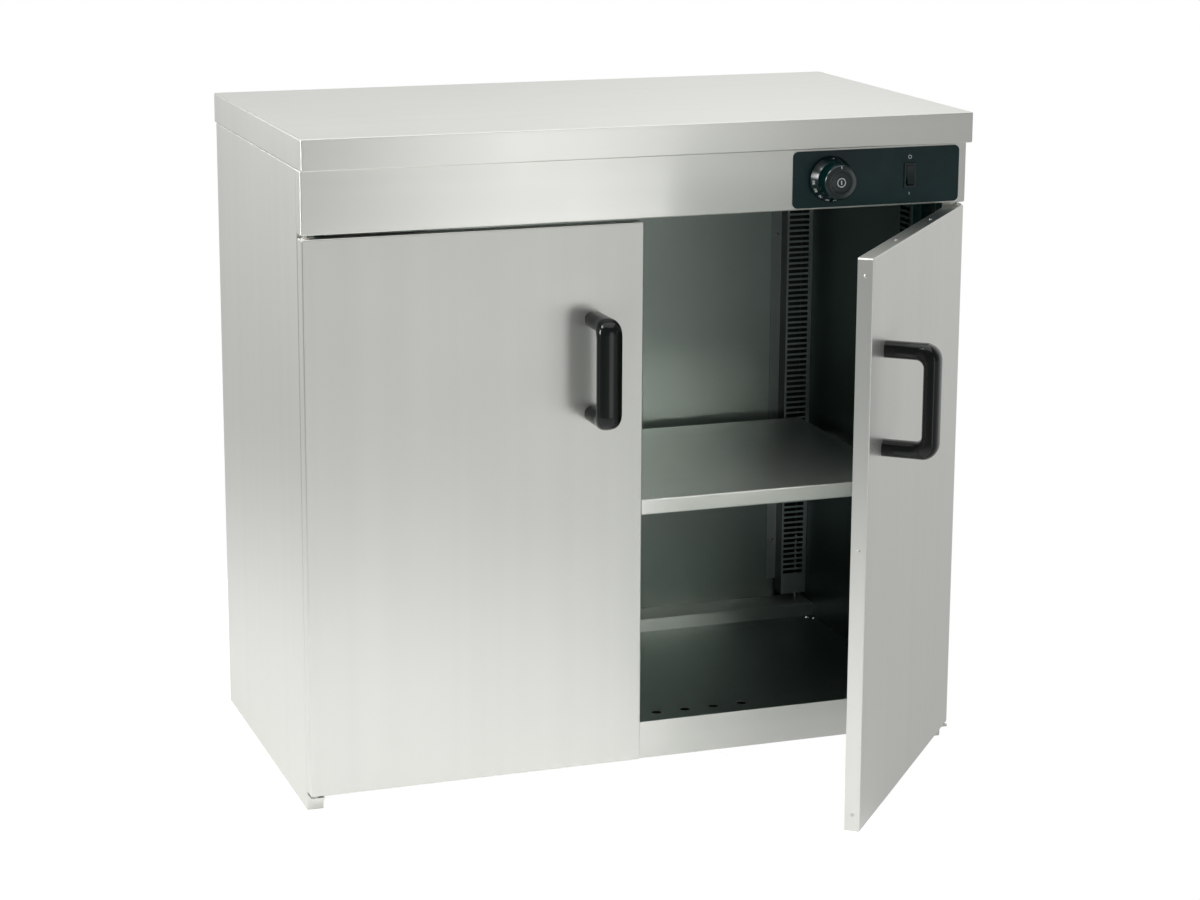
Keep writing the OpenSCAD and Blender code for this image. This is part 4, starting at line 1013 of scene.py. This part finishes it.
def head_tree(name, finish, crossed):
    """A node tree that sets a domed head, with or without a cross recess, on every point along its axis."""
    tree = bpy.data.node_groups.new(name, "GeometryNodeTree")
    face = tree.interface
    face.new_socket("Geometry", in_out="INPUT", socket_type="NodeSocketGeometry")
    for label in SCREW_HEAD:
        face.new_socket(label, in_out="INPUT", socket_type="NodeSocketFloat")
    face.new_socket("Geometry", in_out="OUTPUT", socket_type="NodeSocketGeometry")
    source = add_node(tree, "NodeGroupInput").outputs
    wide = source["Head Diameter"]
    tall = blend_value(tree, "MULTIPLY", source["Head Height"], 2)
    ball = add_node(tree, "GeometryNodeMeshUVSphere", {"Segments": 24, "Rings": 12, "Radius": 0.5})
    size = add_node(tree, "ShaderNodeCombineXYZ", {"X": wide, "Y": wide, "Z": tall})
    head = add_node(tree, "GeometryNodeTransform", {"Geometry": ball, "Scale": size})
    if crossed:
        head = cut_cross(tree, source, head)
    axis = add_node(tree, "GeometryNodeInputNamedAttribute", {"Name": "axis"}, data_type="FLOAT_VECTOR")
    align = add_node(tree, "FunctionNodeAlignRotationToVector", {"Vector": axis}, axis="Z")
    spread = add_node(tree, "GeometryNodeInstanceOnPoints", {
        "Points": source["Geometry"], "Instance": head, "Rotation": align})
    real = add_node(tree, "GeometryNodeRealizeInstances", {"Geometry": spread})
    shade = add_node(tree, "GeometryNodeSetShadeSmooth", {"Geometry": real, "Shade Smooth": True})
    paint = add_node(tree, "GeometryNodeSetMaterial", {"Geometry": shade, "Material": FINISHES[finish]})
    add_node(tree, "NodeGroupOutput", {"Geometry": paint})
    return tree


def cut_cross(tree, source, head):
    """Cuts a cross recess into the head's crown."""
    tall = source["Head Height"]
    length = blend_value(tree, "MULTIPLY", source["Head Diameter"], RECESS_SHARE)
    raised = add_node(tree, "ShaderNodeCombineXYZ", {"Z": tall})
    cut = add_node(tree, "GeometryNodeMeshBoolean", {"Mesh 1": head}, operation="DIFFERENCE")
    for along, across in (("X", "Y"), ("Y", "X")):
        size = add_node(tree, "ShaderNodeCombineXYZ", {
            along: length, across: source["Recess Width"], "Z": tall})
        bar = add_node(tree, "GeometryNodeMeshCube", {"Size": size})
        lift = add_node(tree, "GeometryNodeTransform", {"Geometry": bar, "Translation": raised})
        feed(tree, cut.inputs["Mesh 2"], lift)
    return cut


def set_heads(node, places, tree, sizes):
    """Makes the heads at the given places and axes and puts them in for the node."""
    name = node.removesuffix("s") + "_heads"
    mesh = bpy.data.meshes.new(name)
    mesh.from_pydata([place for place, axis in places], [], [])
    store = mesh.attributes.new("axis", "FLOAT_VECTOR", "POINT")
    for index, (place, axis) in enumerate(places):
        store.data[index].vector = axis
    maker = add_object(name, mesh)
    modifier = maker.modifiers.new("Heads", "NODES")
    modifier.node_group = tree
    for socket in tree.interface.items_tree:
        if socket.in_out == "INPUT" and socket.name in sizes:
            modifier[socket.identifier] = sizes[socket.name]
    heads = evaluated_mesh(maker)
    bpy.data.objects.remove(maker)
    bpy.data.meshes.remove(mesh)
    heads.name = name
    place_piece(name, heads, body_of(node), nodes=[node])


def head_place(low, high, axis, height):
    """Where a head sits, its own height below the end of its solid, and the way that it faces."""
    middle = (low + high) / 2
    ends = [high[i] if axis[i] > 0 else low[i] for i in range(3)]
    crown = Vector([ends[i] if abs(axis[i]) > FACING else middle[i] for i in range(3)])
    return crown - axis * height, axis


class CUPBOARD_OT_fasteners(bpy.types.Operator):
    """Set the cross-headed screws and the rivets"""
    bl_idname = "cupboard.fasteners"
    bl_label = "Screws and rivets"

    def execute(self, context):
        screws = head_tree("screw_heads", "fixings", True)
        height = SCREW_HEAD["Head Height"]
        places = [head_place(low, high, DEPTH, height) for low, high in solids_of("back_panel_screws")]
        set_heads("back_panel_screws", places, screws, SCREW_HEAD)
        places = []
        for low, high in solids_of("interior_screws"):
            axis = -DEPTH if high.z - low.z < high.y - low.y else UPWARD
            places.append(head_place(low, high, axis, height))
        set_heads("interior_screws", places, screws, SCREW_HEAD)
        self.rivet_doors(head_tree("rivet_heads", "rivet_steel", False))
        keep_nodes({"fascia_screws": "fixings"})
        return {"FINISHED"}

    def rivet_doors(self, tree):
        """Rivets along the top, bottom and free edges of both doors."""
        low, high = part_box("left_door_skin")
        shut = []
        for near, far in solids_of("left_door_rivets"):
            if near.z < low.z:
                axis = -UPWARD
            elif far.z > high.z:
                axis = UPWARD
            else:
                axis = ACROSS
            shut.append(head_place(near, far, axis, RIVET_HEAD["Head Height"]))
        set_heads("left_door_rivets", shut, tree, RIVET_HEAD)
        swing = right_door_place() @ Matrix.Scale(-1, 4, ACROSS)
        opened = [(swing @ place, swing.to_3x3() @ axis) for place, axis in shut]
        set_heads("right_door_rivets", opened, tree, RIVET_HEAD)


class CUPBOARD_OT_heater(bpy.types.Operator):
    """Finish the elements, the thermostat and the leads"""
    bl_idname = "cupboard.heater"
    bl_label = "Heater and supply"

    def execute(self, context):
        keep_nodes({"front_heating_element": "element_sheath", "rear_heating_element": "element_sheath",
                    "element_beads": "pale_insulator", "sensor_bulb": "fixings",
                    "capillary_tube": "tube_steel", "wiring_loom": "lead_sheath"})
        soften("element_brackets", "hidden_steel", radius=0.4 * MM)
        soften("thermostat_body", "hidden_steel", radius=1 * MM)
        soften("terminal_block", "pale_insulator", radius=0.8 * MM)
        soften("cable_gland", "matt_black", radius=0.6 * MM)
        return {"FINISHED"}


# Stage

def sideways_level(tree, value, levels):
    """A smooth run of brightness from left to right, through pairs of direction and level."""
    span = add_node(tree, "ShaderNodeMapRange", {"Value": value, "From Min": -1.0, "From Max": 1.0})
    ramp = add_node(tree, "ShaderNodeValToRGB", {"Fac": span})
    ramp.color_ramp.interpolation = "EASE"
    stops = ramp.color_ramp.elements
    while len(stops) < len(levels):
        stops.new(1.0)
    for stop, (side, level) in zip(stops, levels):
        stop.position = (side + 1) / 2
        stop.color = (level, level, level, 1)
    return ramp


def studio_world(stage):
    """A dim room with a white backdrop behind the cupboard, which the lens sees all round."""
    world = bpy.data.worlds.new("studio")
    bpy.context.scene.world = world
    world.use_nodes = True
    tree = world.node_tree
    tree.nodes.clear()
    way = coordinates(tree, "Generated")
    low = level_between(tree, soft_step(tree, way["Z"], *FRONT_FADE), FRONT_LEAST, 1)
    front = blend_value(tree, "MULTIPLY", sideways_level(tree, way["X"], FRONT_LEVELS), low)
    above = level_between(tree, soft_step(tree, way["Z"], *BACK_FADE), BACK_LEAST, 1)
    back = blend_value(tree, "MULTIPLY", sideways_level(tree, way["X"], BACK_LEVELS), above)
    around = add_node(tree, "ShaderNodeMix", {
        "Factor": soft_step(tree, way["Y"], *ROUND_FADE), "A": front, "B": back}, data_type="FLOAT")
    ceiling = soft_step(tree, way["Z"], *CEILING_FADE)
    backdrop = blend_value(tree, "MULTIPLY", around, ceiling)
    rays = add_node(tree, "ShaderNodeLightPath").outputs
    mirrored = blend_value(tree, "ADD", rays["Is Glossy Ray"], rays["Is Transmission Ray"])
    mirrored = blend_value(tree, "MULTIPLY", mirrored, backdrop)
    white = blend_value(tree, "ADD", rays["Is Camera Ray"], mirrored)
    room = add_node(tree, "ShaderNodeBackground", {"Color": ROOM_TINT, "Strength": stage.room_level})
    paper = add_node(tree, "ShaderNodeBackground", {"Color": WHITE, "Strength": 1.0})
    mix = add_node(tree, "ShaderNodeMixShader", {"Fac": white, 1: room, 2: paper})
    add_node(tree, "ShaderNodeOutputWorld", {"Surface": mix})


def floor_material(stage):
    """White paper that fades out with the distance from the cupboard."""
    material, tree, shader = blank_material("white_floor", {
        "Base Color": PAPER, "Roughness": PAPER_ROUGHNESS, "Specular IOR Level": 0, "Emission Color": WHITE})
    place = add_node(tree, "ShaderNodeTexCoord").outputs["Object"]
    far = add_node(tree, "ShaderNodeVectorMath", {0: place, 1: FLOOR_MIDDLE}, operation="DISTANCE")
    side = add_node(tree, "ShaderNodeVectorMath", {0: place, 1: FLOOR_SIDE}, operation="DOT_PRODUCT")
    whole = blend_value(tree, "MULTIPLY",
                        soft_step(tree, far.outputs["Value"], stage.floor_far, stage.floor_near),
                        soft_step(tree, side.outputs["Value"], *FLOOR_SIDE_FADE))
    feed(tree, shader.inputs["Alpha"], whole)
    rays = add_node(tree, "ShaderNodeLightPath").outputs
    lift = blend_value(tree, "MULTIPLY", rays["Is Camera Ray"], stage.floor_lift)
    feed(tree, shader.inputs["Emission Strength"], blend_value(tree, "ADD", lift, stage.floor_glow))
    return material


def lay_floor(stage):
    half = stage.floor_far
    mesh = bpy.data.meshes.new("floor")
    corners = [(-half, -half, 0), (half, -half, 0), (half, half, 0), (-half, half, 0)]
    mesh.from_pydata(corners, [], [(0, 1, 2, 3)])
    mesh.materials.append(floor_material(stage))
    floor = add_object("floor", mesh)


def softbox(name, place, target, size, level, spread):
    """A rectangular lamp of a given brightness that faces a target, gridded where its spread is narrow."""
    lamp = bpy.data.lights.new(name, "AREA")
    lamp.shape = "RECTANGLE"
    lamp.size, lamp.size_y = size
    lamp.spread = spread
    lamp.energy = level * math.pi * size[0] * size[1]
    aim = (Vector(target) - Vector(place)).to_track_quat("-Z", "Y")
    add_object(name, lamp).matrix_world = Matrix.Translation(Vector(place)) @ aim.to_matrix().to_4x4()


def photo_camera(stage):
    """The camera at the photograph's place."""
    lens = bpy.data.cameras.new("photo_camera")
    lens.sensor_width = SENSOR_WIDTH
    lens.lens = stage.lens
    lens.shift_y = stage.shift
    level = math.cos(stage.camera_tilt)
    back = Vector((math.sin(stage.camera_turn) * level, -math.cos(stage.camera_turn) * level,
                   math.sin(stage.camera_tilt)))
    right = UPWARD.cross(back).normalized()
    up = back.cross(right)
    axes = Matrix((right, up, back)).transposed().to_4x4()
    camera = add_object("photo_camera", lens)
    camera.matrix_world = (Matrix.Translation(Vector(stage.camera_place)) @ axes
                           @ Matrix.Rotation(stage.camera_roll, 4, "Z"))
    bpy.context.scene.camera = camera


class CUPBOARD_OT_stage(bpy.types.Operator):
    """Set up the floor, the room, the lamps and the camera"""
    bl_idname = "cupboard.stage"
    bl_label = "Stage"

    def execute(self, context):
        stage = settings("stage")
        context.scene.view_settings.view_transform = "Standard"
        lay_floor(stage)
        studio_world(stage)
        for name, lamp in SOFTBOXES.items():
            softbox(name + "_softbox", **lamp, level=getattr(stage, name + "_level"),
                    spread=getattr(stage, name + "_spread", OPEN_SPREAD))
        photo_camera(stage)
        return {"FINISHED"}


class CUPBOARD_PT_panel(bpy.types.Panel):
    """Lists the cupboard's groups of pieces."""
    bl_idname = "CUPBOARD_PT_panel"
    bl_label = "Hot cupboard"
    bl_space_type = "VIEW_3D"
    bl_region_type = "UI"
    bl_category = "Cupboard"

    def draw(self, context):
        for operator in OPERATORS:
            self.layout.operator(operator.bl_idname)


OPERATORS = (
    CUPBOARD_OT_stage,
    CUPBOARD_OT_carcass,
    CUPBOARD_OT_cavity,
    CUPBOARD_OT_shelf,
    CUPBOARD_OT_doors,
    CUPBOARD_OT_handles,
    CUPBOARD_OT_control_plate,
    CUPBOARD_OT_knob,
    CUPBOARD_OT_switch,
    CUPBOARD_OT_fasteners,
    CUPBOARD_OT_heater,
)
CLASSES = (*SETTINGS.values(), *OPERATORS, CUPBOARD_PT_panel)


def register():
    for cls in CLASSES:
        bpy.utils.register_class(cls)
    for name, group in SETTINGS.items():
        setattr(bpy.types.Scene, name, bpy.props.PointerProperty(type=group))


def unregister():
    for name in SETTINGS:
        delattr(bpy.types.Scene, name)
    for cls in reversed(CLASSES):
        bpy.utils.unregister_class(cls)


def main():
    register()
    FINISHES.update(make_finishes())
    for operator in OPERATORS:
        group, action = operator.bl_idname.split(".")
        getattr(getattr(bpy.ops, group), action)()


if __name__ == "__main__":
    main()
